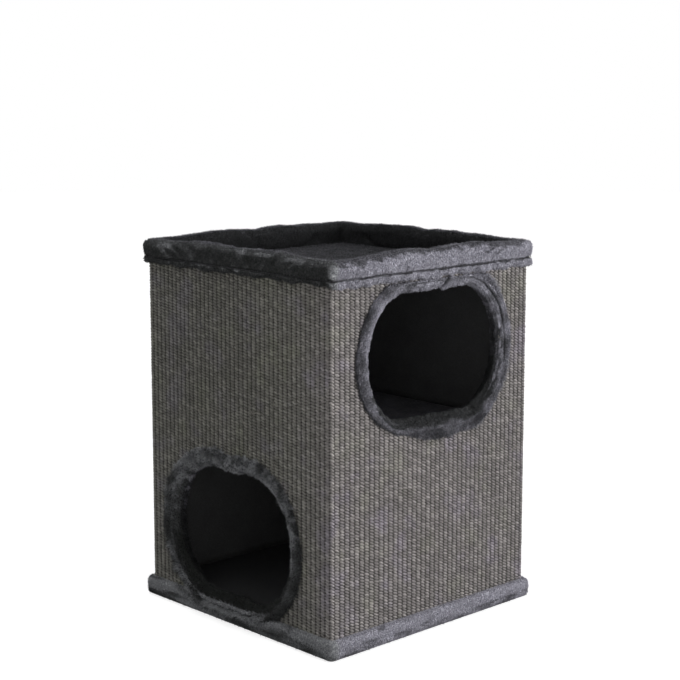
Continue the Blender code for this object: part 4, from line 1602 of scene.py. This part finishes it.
@dataclass
class Deck:
    """A deck's plush cover and the felt under it: the shelf between the caves, or the seat of the tray."""

    name: str
    height: float
    wave: float
    piled: bool
    nap: float
    piled_half: float = 0.196
    board: float = 0.010
    felt: float = 0.003

    def dress(self, palette: Palette, piles: Recipe) -> None:
        """Builds the two cloths and hands them over."""
        bottom = self.height - PLUSH_THICKNESS
        cover = deck_sheet(f"{self.name}_plush", CLOTH_HALF, bottom, PLUSH_THICKNESS, 0.008, self.wave, 7.0)
        # painted shade: the deck's own value darkens the whole cover, most of all on the seat in the tray
        paint(cover.data, tip=0.35, shade=0.5, drawn=1.0, nap=self.nap)
        tufts = []
        if self.piled:
            inside = square_reach(coordinates(cover.data)) < self.piled_half
            paint(cover.data, pile=(facing(cover.data)[:, 2] > 0.5) * inside)
            pile = Pile(density=210000.0, length=0.0034, width=0.0007, seed=17)
            tufts = [pile.grow(piles, cover, f"{self.name}_pile", (0.6, -0.8, 0.0), palette.plush)]
        deliver(cover, "plush", palette.plush, (f"{self.name}_cover",))
        for piece in tufts:
            deliver(piece, "plush")
        bottom -= self.board + self.felt + 2 * HAIR_GAP
        under = deck_sheet(f"{self.name}_felt", CLOTH_HALF, bottom, self.felt, 0.012, 0.0004, 9.0)
        deliver(under, "lining_cloth", palette.felt, (f"{self.name}_under_cloth",))


@dataclass
class Lining:
    """The felt round the four inner faces of one cave."""

    name: str
    door: DoorShape
    low: float
    high: float
    thickness: float = 0.003
    corner: float = 0.004
    slack: float = 0.0005

    def dress(self, palette: Palette) -> None:
        """Builds the felt and hands it over."""
        course = SquareCourse(CLOTH_HALF - self.thickness / 2, self.corner)
        low, high = self.low + HAIR_GAP, self.high - HAIR_GAP
        felt = self.thickness - 0.0002
        piece = wrapped_sheet(f"{self.name}_felt", course, low, high, [self.door], 0.012, felt, self.slack)
        deliver(piece, "lining_cloth", palette.felt, (f"{self.name}_lining",))
        size = (course.length, self.high - self.low)
        area = size[0] * size[1] - self.door.hole_area()


@dataclass
class Rim:
    """The padded roll over the walls' upper edges, with a sewn crease above its hem."""

    half: float = 0.2265
    inner_half: float = 0.1931
    corner: float = 0.012
    bottom: float = 0.5545
    top: float = 0.600
    seat: float = 0.560
    wall_top: float = 0.5854
    rounding: float = 0.014
    crease_up: float = 0.0135
    crease_depth: float = 0.0034

    def build(self) -> Piece:
        """The roll, swollen by the cloth simulation and then crushed a little."""
        crease = self.bottom + self.crease_up
        on_mat = MAT_HALF + HAIR_GAP
        on_seat = self.seat + HAIR_GAP
        shown = run_through(
            [
                (on_mat, self.bottom, 0.0),
                (self.half, self.bottom, 0.0036),
                (self.half, crease - 0.0035, 0.0),
                (self.half - self.crease_depth, crease, 0.0),
                (self.half, crease + 0.0045, 0.0),
                (self.half, self.top, self.rounding),
                (self.inner_half, self.top, self.rounding),
                (self.inner_half, on_seat, 0.0),
            ],
            0.0042,
        )
        over = self.wall_top + HAIR_GAP
        inside = [(CLOTH_HALF, on_seat, 0.0), (CLOTH_HALF, over, 0.0)]
        hidden = run_through(inside + [(on_mat, over, 0.0), (on_mat, self.bottom + 0.003, 0.0)], 0.008)
        section = np.vstack([shown, hidden])
        sewn = np.zeros(len(section), dtype=bool)
        sewn[len(shown):] = True
        sewn[0] = sewn[len(shown) - 1] = True
        at_crease = np.flatnonzero((abs(section[:, 1] - crease) < 1e-4) & (section[:, 0] > self.half - 0.005))
        sewn[at_crease] = True
        rows = square_rows(section, SquareCourse(self.half, self.corner), 0.003, 76, 5)
        rows = self._waved(rows, section, crease)
        piece = swept_skin("rim_roll", rows, joined=True, bands=4)
        around = rows.shape[1]
        held = np.repeat(sewn.astype(float), around)
        Stuffing(cap=0.0046, spare_cloth=0.09).fill(piece, held)
        pile = np.zeros(len(section))
        pile[: len(shown)] = 1.0
        pile[at_crease] = 0.25
        paint(piece.data, pile=np.repeat(pile, around))
        places = coordinates(piece.data)
        lumps = rumples(places, (0.55, 28.0, 11.0), (0.45, 75.0, 12.0))
        settle(piece.data, places + facing(piece.data) * (0.0013 * lumps * (1.0 - held))[:, None])
        subdivided(piece)
        places = coordinates(piece.data)
        places[:, 2] = np.minimum(places[:, 2], self.top + 0.002)
        settle(piece.data, places)
        self._brush_and_shade(piece.data, self._sew(piece.data))
        return piece

    def _sew(self, mesh: Mesh) -> Points:
        """Draws the sewn crease in, with a slight wave, and gives its line as a value for each vertex."""
        places, normals = coordinates(mesh), facing(mesh)
        wave = rumples(places * LEVEL, (0.0011, 15.0, 41.0), (0.0006, 60.0, 42.0))
        line = bell(places[:, 2] - (self.bottom + self.crease_up + wave), 0.0017)
        line *= square_reach(places) > MAT_HALF + 0.002
        settle(mesh, places - normals * (0.0024 * line)[:, None])
        return line

    def _brush_and_shade(self, mesh: Mesh, line: Points) -> None:
        """Paints painted light to the front and right, painted shade to the left, back and top, black painted shade
        towards the tray, painted highlights along the left side's top edge and painted shade in the sewn crease.
        """
        # painted light to the front and right, painted shade to the left, back and top, black painted shade on the
        # faces towards the tray
        sides = {Side.FRONT: 1.55, Side.RIGHT: 1.05, Side.LEFT: 0.11, Side.BACK: 0.20}
        nap = brushed_and_shaded(mesh, sides, 0.34, 0.03, (self.half + self.inner_half) / 2)
        places, normals = coordinates(mesh), facing(mesh)
        # painted highlights: lit spots along the left side's top edge
        lit = eased(rumple(places * np.array((1.0, 0.4, 1.0)), 60.0, 33.0), 0.12, 0.40) * (places[:, 0] < SIDE_LINE)
        nap += 0.55 * lit * eased(normals[:, 2], 0.15, 0.6) * eased(-normals[:, 2], -0.98, -0.80)
        # painted shade in the sewn crease, on the skin's colour and on the tufts' tips
        deep = np.sqrt(line)
        pile = painted(mesh, "pile") * (1 - 0.9 * line)
        paint(mesh, nap=nap * (1 - 0.95 * deep), trim=1 - 0.72 * deep, pile=pile, tip=0.40 - 0.3 * line)
        paint(mesh, shade=0.5, drawn=1.0)

    def _waved(self, rows: Points, section: Points, crease: float) -> Points:
        """Lets the hem below the crease rise and fall, and sit higher on the left side."""
        flat = rows.reshape(-1, 3).copy()
        low = np.clip((crease - section[:, 1]) / self.crease_up, 0, 1) * (section[:, 0] > MAT_HALF - 0.001)
        weight = np.repeat(low, rows.shape[1])
        wave = rumples(flat * LEVEL, (0.0016, 13.0, 21.0), (0.0008, 37.0, 22.0))
        left = np.clip((-0.2 - flat[:, 0]) / 0.02, 0, 1)
        flat[:, 2] += weight * (wave + 0.0040 * left)
        return flat.reshape(rows.shape)

    def stitching(self, material: Material) -> Piece:
        """The thread in the crease, one small stitch after another."""
        crease = self.bottom + self.crease_up
        reach = self.half - self.crease_depth + 0.0010
        course = SquareCourse(reach, self.corner - self.half + reach)
        carrier = course_curve("crease_course", course, crease)
        r = Recipe("crease thread")
        pitch, length, girth = r.dials(Dial.NUMBER, "Pitch", "Stitch Length", "Thread Size")
        stuff, seed = r.dial("Material", Dial.MATERIAL), r.dial("Seed", Dial.WHOLE)
        line = r.node("GeometryNodeCurveToPoints", {"mode": "LENGTH"}, {"Curve": r.geometry(), "Length": pitch})
        turned = r.aimed("X", r.wire(line, "Tangent"))
        size = r.join(length * r.chance(0.85, 1.1, seed, 3), girth, girth)
        r.ends_in(r.planted(r.wire(line, "Points"), r.ball()[0], turned, size, stuff))
        dials = {"Pitch": 0.0046, "Stitch Length": 0.0020, "Thread Size": 0.0005, "Material": material, "Seed": 2}
        piece = r.run(carrier, "rim_stitching", dials)
        bpy.data.objects.remove(carrier)
        return piece

    def dress(self, palette: Palette, piles: Recipe) -> None:
        """Builds the roll, its pile and its thread and hands them over."""
        roll = self.build()
        weight = painted(roll.data, "pile")
        x, y, _ = coordinates(roll.data).T
        quarter = np.where(abs(x) > abs(y), np.where(x > 0, 3, 1), np.where(y > 0, 0, 2))
        tufts = []
        for side in Side:
            paint(roll.data, pile=weight * (quarter == side.value))
            pile = Pile(seed=50 + side.value)
            tufts.append(pile.grow(piles, roll, f"rim_pile_{side.name.lower()}", (0.0, 0.0, -1.0), palette.plush))
        deliver(roll, "plush", palette.plush, ("rim_cover", "rim_padding"))
        for piece in tufts:
            deliver(piece, "plush")
        deliver(self.stitching(palette.thread), "plush")


@dataclass(frozen=True)
class Crease:
    """A fold line that runs along a stretch of a doorway's roll."""

    growth: float
    depth: float
    first: float
    last: float
    width: float = 0.0015
    # crest is the painted highlight on the ridge beside the fold line, and the fold line itself gets painted shade
    crest: float = 0.35


@dataclass(frozen=True)
class BrushingAndShading:
    """Painted light and shade on a doorway's roll by the way its skin faces, together with how flat its pile lies.

    level holds for skin that faces out of the wall. aside is painted light added where it faces the tower's front or
    right, and below is painted light where it faces down. above is painted light on the upper part of the roll, inside
    is painted shade in the reveal, glints are painted highlights in small spots, from glints_from's heights up, far is
    painted shade on the end away from the front corner, and streaks are painted highlights in pale lines along the
    lower flange.
    """

    level: float
    aside: float
    below: float
    above: float
    inside: float
    glints: float
    glints_from: tuple[float, float] = (-0.7, 0.6)
    far: float = 0.0
    streaks: float = 0.0


@dataclass
class DoorRoll:
    """The padded plush that wraps the cut edge of one doorway: a flange, a ridge and a sloping reveal."""

    door: DoorShape
    seed: int
    brushing_and_shading: BrushingAndShading
    pile: Pile
    fuzz: Pile
    creases: tuple[Crease, ...]
    tucked_under: float | None = None
    drapes_from: float | None = None
    gather: tuple[float, float] | None = None
    wider: tuple[tuple[float, float], ...] = ((-180.0, 0.0035), (-90.0, 0.0), (90.0, 0.0), (180.0, 0.0035))
    lip: tuple[tuple[float, float], ...] = ((-180.0, 0.0), (180.0, 0.0))
    crown: float = 0.0084
    ridge: float = 0.0125
    width: float = 0.029
    wall_depth: float = 0.0176
    hem: float = 0.014
    squeeze: float = 0.0078
    stations: int = 168
    staple_stations: float = 0.017 / 0.0048

    def build(self) -> Piece:
        """The roll, swollen between its hem, its staples and the wall."""
        back = -self.wall_depth - HAIR_GAP
        lowest, hem = back - PLUSH_THICKNESS, HOLE_GROWTH + self.hem
        shown = run_through(
            [
                (self.width, HAIR_GAP, 0.0),
                (self.width - 0.0006, 0.0058, 0.0042),
                (self.ridge, self.crown + 0.0008, 0.0075),
                (0.0012, -0.0040, 0.0060),
                (0.0026, lowest, 0.0030),
                (hem, lowest, 0.0),
            ],
            0.0034,
        )
        inner = HOLE_GROWTH - HAIR_GAP
        wrapped = [(hem, back, 0.0), (inner, back, 0.0), (inner, HAIR_GAP, 0.0), (self.width - 0.003, HAIR_GAP, 0.0)]
        hidden = run_through(wrapped, 0.007)
        section = np.vstack([shown, hidden])
        places = self.door.stations(self.stations)
        along, rise = self.door.outline(*places, 0.0)
        way = np.degrees(np.arctan2(rise, along))
        widened, drawn_in = (np.interp(way, *np.array(table).T) for table in (self.wider, self.lip))
        uneven = np.array([noise.noise(Vector((n * 0.13, self.seed, 0.7))) for n in range(self.stations)])
        uneven *= np.minimum(np.arange(self.stations), np.arange(self.stations)[::-1]).clip(0, 12) / 12
        widened += 0.0016 * uneven
        rows = np.array(
            [self.door.ring(places, self._grown(growth, out, widened, drawn_in), out) for growth, out in section]
        )
        held = np.zeros(rows.shape[:2])
        held[0] = held[len(shown) - 1 :] = 1.0
        self._pucker(rows, held, section)
        piece = swept_skin(f"{self.door.name}_roll", rows, joined=True, bands=2)
        self._tuck(piece.data)
        Stuffing(cap=0.0028, spare_cloth=0.06).fill(piece, held.ravel())
        self._calm(piece.data, len(section), len(shown))
        pile = np.repeat(np.arange(len(section)) < len(shown), self.stations).astype(float)
        paint(piece.data, pile=pile, held=1.0 - pile)
        self._tuck(piece.data)
        subdivided(piece)
        self._fold(piece.data)
        self._tuck(piece.data)
        if self.drapes_from is not None:
            self._drape(piece.data)
        self._brush_and_shade(piece.data)
        return piece

    def _grown(self, growth: float, out: float, widened: Points, drawn_in: Points | float) -> Points:
        """Where one line of the section runs, once the flange is widened and the lip is drawn in."""
        if out < 0.004 - self.wall_depth or growth > self.ridge:
            drawn_in = 0.0
        outer = (growth / self.width) ** 2 * (out > -0.001)
        return growth + widened * outer - drawn_in * (1.0 - growth / self.ridge)

    def _pucker(self, rows: Points, held: Points, section: Points) -> None:
        """Holds the inner lip at spots a staple apart, drawn in towards the wall."""
        lip = int(np.argmin(np.hypot(section[:, 0], section[:, 1] + 0.004)))
        middle = self.door.on_wall(np.zeros(1), np.zeros(1), 0.0)[0]
        place, number = 0.0, 0
        while place < self.stations - 2:
            column = int(place)
            away = rows[lip, column] - middle
            away[self.door.axis] = 0.0
            rows[lip - 1 : lip + 2, column] += away / np.linalg.norm(away) * 0.0012
            held[lip, column] = 1.0
            number += 1
            place += self.staple_stations * (1.0 + 0.3 * noise.noise(Vector((number * 0.7, self.seed, 0.3))))

    def _calm(self, mesh: Mesh, rows: int, shown: int) -> None:
        """Evens the skin out across the roll, so that no ribs run round the doorway."""
        places = coordinates(mesh).reshape(rows, self.stations, 3)
        for _ in range(3):
            inner = places[1 : shown - 1]
            places[1 : shown - 1] = inner / 2 + (places[: shown - 2] + places[2:shown]) / 4
        settle(mesh, places.reshape(-1, 3))

    def _tuck(self, mesh: Mesh) -> None:
        """Presses the roll flat where it meets the rim above it."""
        if self.tucked_under is None:
            return
        places = coordinates(mesh)
        proud = places[:, self.door.axis] < -MAT_HALF - 0.0002
        over = np.maximum(places[:, 2] - (self.tucked_under - 0.008), 0) * proud
        places[:, 2] -= over - self.squeeze * (1 - np.exp(-over / self.squeeze))
        settle(mesh, places)

    def _fold(self, mesh: Mesh) -> None:
        """Crushes the roll, draws its creases and lays its two ends over each other at the gather, and paints shade
        into the folds and highlights on the creases' crests.
        """
        places, normals = coordinates(mesh), facing(mesh)
        across, up, out = self.door.from_wall(places)
        growth, turn = self.door.growth_at(across, up), self.door.turn_at(across, up)
        lift = 0.0012 * rumples(places, (0.55, 32.0, self.seed), (0.75, 85.0, self.seed + 1.0))
        lift += 0.0007 * rumple(places, 190.0, self.seed + 2.0)
        lift += 0.0008 * self._cross_folds(growth, turn) * eased(-growth, -0.017, -0.010) * eased(out, -0.016, -0.010)
        dark = np.zeros(len(places))
        wander = 0.0026 * rumple(places, 20.0, self.seed + 3.0)
        for crease in self.creases:
            along = eased(turn, crease.first, crease.first + 14) * (1 - eased(turn, crease.last - 14, crease.last))
            along *= 0.60 + 0.40 * eased(rumple(places, 45.0, self.seed + 4.0), -0.25, 0.15)
            along *= out > -0.004
            aside = (growth + wander - crease.growth) / crease.width
            line, crest = bell(aside, 1.0) * along, bell(aside - 2.1, 1.2) * along
            lift += crease.depth * (0.15 * crest - line)
            # painted shade in the fold line and painted highlight on its crest
            dark += 0.92 * line - crease.crest * crest
        if self.gather is not None:
            inner, outer = self.gather
            aside = across - (inner + (outer - inner) * growth / self.width)
            above = (up > 0) * (out > -0.012)
            line = bell(aside, 0.0018) * above
            lift += (0.0024 * bell(aside - 0.0065, 0.0060) - 0.0007 * bell(aside + 0.008, 0.006)) * above
            lift -= 0.0042 * line
            # painted shade in the gather's fold
            dark += 0.8 * line
        settle(mesh, places + normals * (lift * (1 - painted(mesh, "held")))[:, None])
        paint(mesh, dark=np.clip(dark, -1.5, 0.9), growth=growth)

    def _cross_folds(self, growth: Points, turn: Points) -> Points:
        """Folds that run across the roll, where the cloth is eased round the edge, from -1 to 1."""
        walked = np.radians(turn) * 0.12
        plan = np.column_stack([walked * 52.0, growth * 22.0, np.full(len(turn), self.seed * 1.7)])
        return np.clip(1.7 * rumple(plan, 1.0, 3.0), -1, 1)

    def _drape(self, mesh: Mesh) -> None:
        """Lets the lower part of the roll run out over the base and down over its edge."""
        places = coordinates(mesh)
        _, _, out = self.door.from_wall(places)
        path = np.array(
            [(0.0, 0.0), (0.0003, 0.0026), (0.0018, 0.0049), (0.0044, 0.0066), (0.0073, 0.0083)]
            + [(0.0096, 0.0111), (0.0106, 0.0149), (0.0108, 0.0195), (0.0108, 0.0270)]
        )
        walked = np.concatenate([[0.0], np.cumsum(np.hypot(*np.diff(path, axis=0).T))])
        start = self.drapes_from + self.squeeze
        sunk = np.maximum(start - places[:, 2], 0.0)

        def follow(distance: Points) -> Points:
            """How far over and down the path leads."""
            return np.stack([np.interp(distance, walked, part) for part in path.T])

        over, down = follow(sunk)
        ahead = follow(sunk + 0.003) - follow(sunk - 0.003)
        ahead /= np.maximum(np.linalg.norm(ahead, axis=0), 1e-9)
        on = (sunk > 0) & (out > -0.0003)
        thick = out * (1 - 0.30 * eased(sunk, 0.0, 0.012))
        places[on, self.door.axis] = -(MAT_HALF + over + ahead[1] * thick)[on]
        places[on, 2] = (start - down + ahead[0] * thick)[on]
        settle(mesh, places)

    def _brush_and_shade(self, mesh: Mesh) -> None:
        """Paints painted light and shade by the way the skin faces, in patches, with painted shade in the reveal, the
        creases and the far end, and painted highlights as small glints and streaks.
        """
        look = self.brushing_and_shading
        places, normals = coordinates(mesh), facing(mesh)
        across, up, out = self.door.from_wall(places)
        sideways = normals[:, 0] if self.door.side is Side.FRONT else -normals[:, 1]
        growth, turn = painted(mesh, "growth"), self.door.turn_at(across, up)
        high = up / self.door.half_height
        beside, rise = self.door.inwards(across, up)
        reveal = eased(-growth, -0.0110, -0.0020)
        sideways += 0.65 * reveal * (beside - sideways)
        upward = normals[:, 2] + 0.65 * reveal * (rise - normals[:, 2])
        upward = np.maximum(upward, reveal * rise) + 0.30 * rumple(places, 62.0, self.seed + 6.0)
        # painted light and shade by the way the skin faces: paler towards the front and right and where it faces down
        nap = look.level + look.aside * sideways + look.below * eased(-upward, -0.15, 0.6)
        inner = eased(-growth, -0.021, -0.014)
        # painted shade on the inner slope where it looks up, in the lower part
        nap *= 1.0 - 0.94 * inner * eased(upward, 0.0, 0.42) * (high < 0.5)
        # painted light on the upper part, painted shade in the reveal
        nap *= 1.0 + look.above * np.clip(high, -1, 1)
        nap *= 1.0 - look.inside * eased(-out, -0.003, 0.008)
        # random patches, and painted light and shade on the cross folds
        nap *= 1.0 + 0.75 * rumple(places, 38.0, self.seed + 5.0) + 0.16 * self._cross_folds(growth, turn)
        # painted highlights: glints in small spots
        spots = eased(rumple(places, 85.0, self.seed + 8.0), 0.05, 0.30)
        nap += look.glints * spots * eased(high, *look.glints_from)
        # painted shade on the far end
        nap *= 1.0 - look.far * eased(abs(turn), 115.0, 160.0)
        # painted highlights: streaks along the lower flange
        drawn = np.column_stack([np.radians(turn) * 2.6, growth * 230.0, np.full(len(turn), 4.0)])
        low = eased(growth, 0.0150, 0.0200) * eased(-high, 0.25, 0.65) * eased(-turn, 58.0, 88.0)
        nap += look.streaks * low * eased(rumple(drawn, 1.0, self.seed + 10.0), 0.02, 0.30)
        # painted shade in the creases and painted highlights on their crests, on the skin and on the tufts' tips
        dark = painted(mesh, "dark")
        deep = np.maximum(dark, 0)
        nap = np.maximum(nap, 0.0) * (1 - dark)
        paint(mesh, trim=1 - 0.6 * deep, nap=nap, tip=0.40 - 0.25 * deep, shade=0.5, drawn=0.2)

    def _fuzzed(self, roll: Piece, piles: Recipe, material: Material) -> Piece:
        """Grows longer strands at the roll's outer edge, darkened as painted shade, which blur its outline on the mat.
        """
        mesh = roll.data
        _, _, out = self.door.from_wall(coordinates(mesh))
        edge = eased(painted(mesh, "growth"), self.width - 0.012, self.width - 0.004) * (out > 0.0008)
        kept = {name: painted(mesh, name) for name in ("pile", "nap", "trim")}
        ragged = eased(rumple(coordinates(mesh), 30.0, self.seed + 9.0), -0.3, 0.5)
        # painted shade: the strands are given 0.6 of the roll's painted light
        paint(mesh, pile=kept["pile"] * edge, nap=0.6 * kept["nap"], trim=0.65 + 0.9 * ragged)
        strands = self.fuzz.grow(piles, roll, f"{self.door.name}_fuzz", (0.0, 0.0, -0.5), material)
        paint(mesh, **kept)
        for piece in (roll, strands):
            strip(piece, "dark", "held", "growth")
        return strands

    def dress(self, palette: Palette, piles: Recipe) -> None:
        """Builds the roll and its pile and hands them over."""
        roll = self.build()
        tufts = self.pile.grow(piles, roll, f"{self.door.name}_pile", (0.0, 0.0, -1.0), palette.plush)
        strands = self._fuzzed(roll, piles, palette.plush)
        deliver(roll, "plush", palette.plush, (f"{self.door.name}_trim", f"{self.door.name}_padding"))
        for piece in (tufts, strands):
            deliver(piece, "plush")


@dataclass
class Studio:
    """The plain pale floor, the soft lights, the pale surroundings and the camera."""

    turn: float = -43.5
    tilt: float = 8.43
    lens: float = 85.053
    distance: float = 2.64106
    across: float = 0.00432
    above: float = 0.18564
    shift: float = -0.0512
    middle: float = 0.300

    def camera(self) -> None:
        """Sets the camera at the photograph's angle."""
        yaw, pitch = math.radians(self.turn), math.radians(self.tilt)
        back = Vector((math.sin(yaw) * math.cos(pitch), -math.cos(yaw) * math.cos(pitch), math.sin(pitch)))
        right = Vector((math.cos(yaw), math.sin(yaw), 0.0))
        up = back.cross(right)
        data = bpy.data.cameras.new("camera")
        data.sensor_fit, data.sensor_width = "HORIZONTAL", 36.0
        data.lens, data.shift_y = self.lens, self.shift
        data.clip_start, data.clip_end = 0.05, 60.0
        camera = placed("camera", data)
        camera.matrix_world = Matrix((right, up, back)).transposed().to_4x4()
        camera.location = Vector((0, 0, self.middle)) + back * self.distance + right * self.across + up * self.above
        bpy.context.scene.camera = camera

    def floor(self) -> None:
        """A wide pale floor that the camera sees as white away from the object's shadow."""
        shape = bmesh.new()
        below = Matrix.Translation((0, 0, -0.0004))
        bmesh.ops.create_circle(shape, cap_ends=True, radius=9.0, segments=96, matrix=below)
        floor = put("floor", mesh_from(shape, "floor"))
        graph = Finish("floor paint")
        camera = graph.result("ShaderNodeLightPath", "Is Camera Ray")
        tone = 0.62 + 0.02 * graph.cloud(graph.place(), 30.0)
        matt = graph.result("ShaderNodeBsdfDiffuse", Color=graph.join(tone, tone, tone))
        glow = graph.result("ShaderNodeEmission", Color=WHITE, Strength=0.80)
        lit = graph.wire(graph.node("ShaderNodeAddShader", None, {0: matt, 1: glow}))
        white = graph.mixed(camera, matt, lit)
        clear = graph.result("ShaderNodeBsdfTransparent")
        under = graph.result("ShaderNodeNewGeometry", "Backfacing")
        last = graph.mixed(under * camera, white, clear)
        graph.node("ShaderNodeOutputMaterial", None, {"Surface": last})
        floor.data.materials.append(graph.material)
        floor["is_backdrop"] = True

    def surroundings(self, light: float) -> None:
        """A pale world that lights the object gently and looks white to the camera."""
        world = bpy.data.worlds.new("pale studio")
        world.use_nodes = True
        graph = NodeGraph(world.node_tree)
        graph.tree.nodes.clear()
        path = graph.node("ShaderNodeLightPath")
        camera, glossy, through = (graph.wire(path, f"Is {kind} Ray") for kind in ("Camera", "Glossy", "Transmission"))
        direct = graph.maths("MINIMUM", camera + glossy + through, 1.0)
        soft, white = (graph.result("ShaderNodeBackground", Color=WHITE, Strength=power) for power in (light, 1.0))
        graph.node("ShaderNodeOutputWorld", None, {"Surface": graph.mixed(direct, soft, white)})
        bpy.context.scene.world = world

    def lamp(self, name: str, place: tuple[float, float, float], power: float, size: float) -> None:
        """One soft square lamp that points at the tower's middle."""
        data = bpy.data.lights.new(name, "AREA")
        data.shape, data.size, data.energy = "SQUARE", size, power
        lamp = placed(name, data)
        lamp.location = place
        lamp.rotation_euler = (Vector(place) - Vector((0, 0, self.middle))).to_track_quat("Z", "Y").to_euler()

    def build(self) -> None:
        """Sets up the whole studio."""
        self.camera()
        self.floor()
        self.surroundings(0.42)
        self.lamp("key lamp", (1.35, -3.0, 0.80), 72.0, 1.4)
        self.lamp("top lamp", (-0.6, 0.4, 3.2), 14.0, 1.8)
        bpy.context.scene.view_settings.view_transform = "Standard"


def corners() -> list[list[float]]:
    """The shown object's lowest and highest corners, as plain lists."""
    return [[float(value) for value in corner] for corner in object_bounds()]


def main() -> None:
    """Builds the tower's pieces in order, from the studio up."""
    logging.basicConfig(level=logging.INFO, format="%(message)s")
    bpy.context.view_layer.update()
    upper_door = DoorShape(
        "upper_door", Side.FRONT, width=0.280, end=0.080, offset=0.0035, sill=0.3395, head=0.5335
    )
    lower_door = DoorShape("lower_door", Side.LEFT, width=0.268, end=0.090, offset=-0.011, sill=0.0431, head=0.2431)
    Studio().build()
    palette = Palette()
    piles = Pile.recipe()
    Carcass().dress(palette)
    Base().dress(palette, piles)
    Mat((upper_door, lower_door)).dress(palette)
    Deck("shelf", height=0.300, wave=0.0008, piled=False, nap=0.30).dress(palette, piles)
    Deck("seat", height=0.560, wave=0.0014, piled=True, nap=0.12).dress(palette, piles)
    Lining("lower_cave", lower_door, low=0.0306, high=0.2824).dress(palette)
    Lining("upper_cave", upper_door, low=0.300, high=0.5424).dress(palette)
    Rim().dress(palette, piles)
    DoorRoll(
        upper_door,
        seed=61,
        brushing_and_shading=BrushingAndShading(level=0.55, aside=0.46, below=0.30, above=0.30, inside=0.30, glints=0.28),
        pile=Pile(seed=61, length=0.0036),
        fuzz=Pile(seed=62, density=700000.0, length=0.0062, width=0.00042, lean=0.3, ruffle=1.1),
        creases=(Crease(0.0155, 0.0030, first=-25.0, last=100.0, width=0.0023, crest=0.12),),
        tucked_under=0.5565,
        gather=(0.009, 0.0285),
        wider=(
            ((-180.0, 0.0035), (-160.0, 0.0), (-140.0, -0.0080), (-125.0, -0.0075), (-115.0, -0.0005), (-104.0, 0.0060))
            + ((-90.0, 0.0085), (-75.0, 0.0095), (-60.0, 0.0070), (-45.0, 0.0035), (-20.0, 0.0))
            + ((120.0, 0.0), (150.0, 0.0020), (180.0, 0.0035))
        ),
        lip=(
            ((-180.0, 0.0), (-140.0, 0.0010), (-120.0, 0.0070), (-105.0, 0.0045), (-80.0, 0.0025), (-62.0, 0.0050))
            + ((-45.0, 0.0050), (-25.0, 0.0020), (0.0, 0.0), (180.0, 0.0))
        ),
    ).dress(palette, piles)
    DoorRoll(
        lower_door,
        seed=71,
        brushing_and_shading=BrushingAndShading(
            level=0.44,
            aside=-0.08,
            below=0.34,
            above=0.72,
            inside=0.68,
            glints=1.35,
            glints_from=(-0.1, 0.7),
            far=0.42,
            streaks=1.40,
        ),
        pile=Pile(seed=71, length=0.0052, lean=0.7, ruffle=1.9),
        fuzz=Pile(seed=72, density=900000.0, length=0.0085, width=0.00045, lean=0.25, ruffle=1.3),
        creases=(
            Crease(0.0140, 0.0018, first=-178.0, last=-60.0, crest=1.2),
            Crease(0.0215, 0.0016, first=-170.0, last=-50.0, crest=1.4),
        ),
        drapes_from=0.0309,
        lip=(
            ((-180.0, 0.0), (-155.0, 0.0020), (-130.0, 0.0050), (-105.0, 0.0055), (-80.0, 0.0045), (-55.0, 0.0020))
            + ((-35.0, 0.0), (180.0, 0.0))
        ),
    ).dress(palette, piles)


if __name__ == "__main__":
    main()
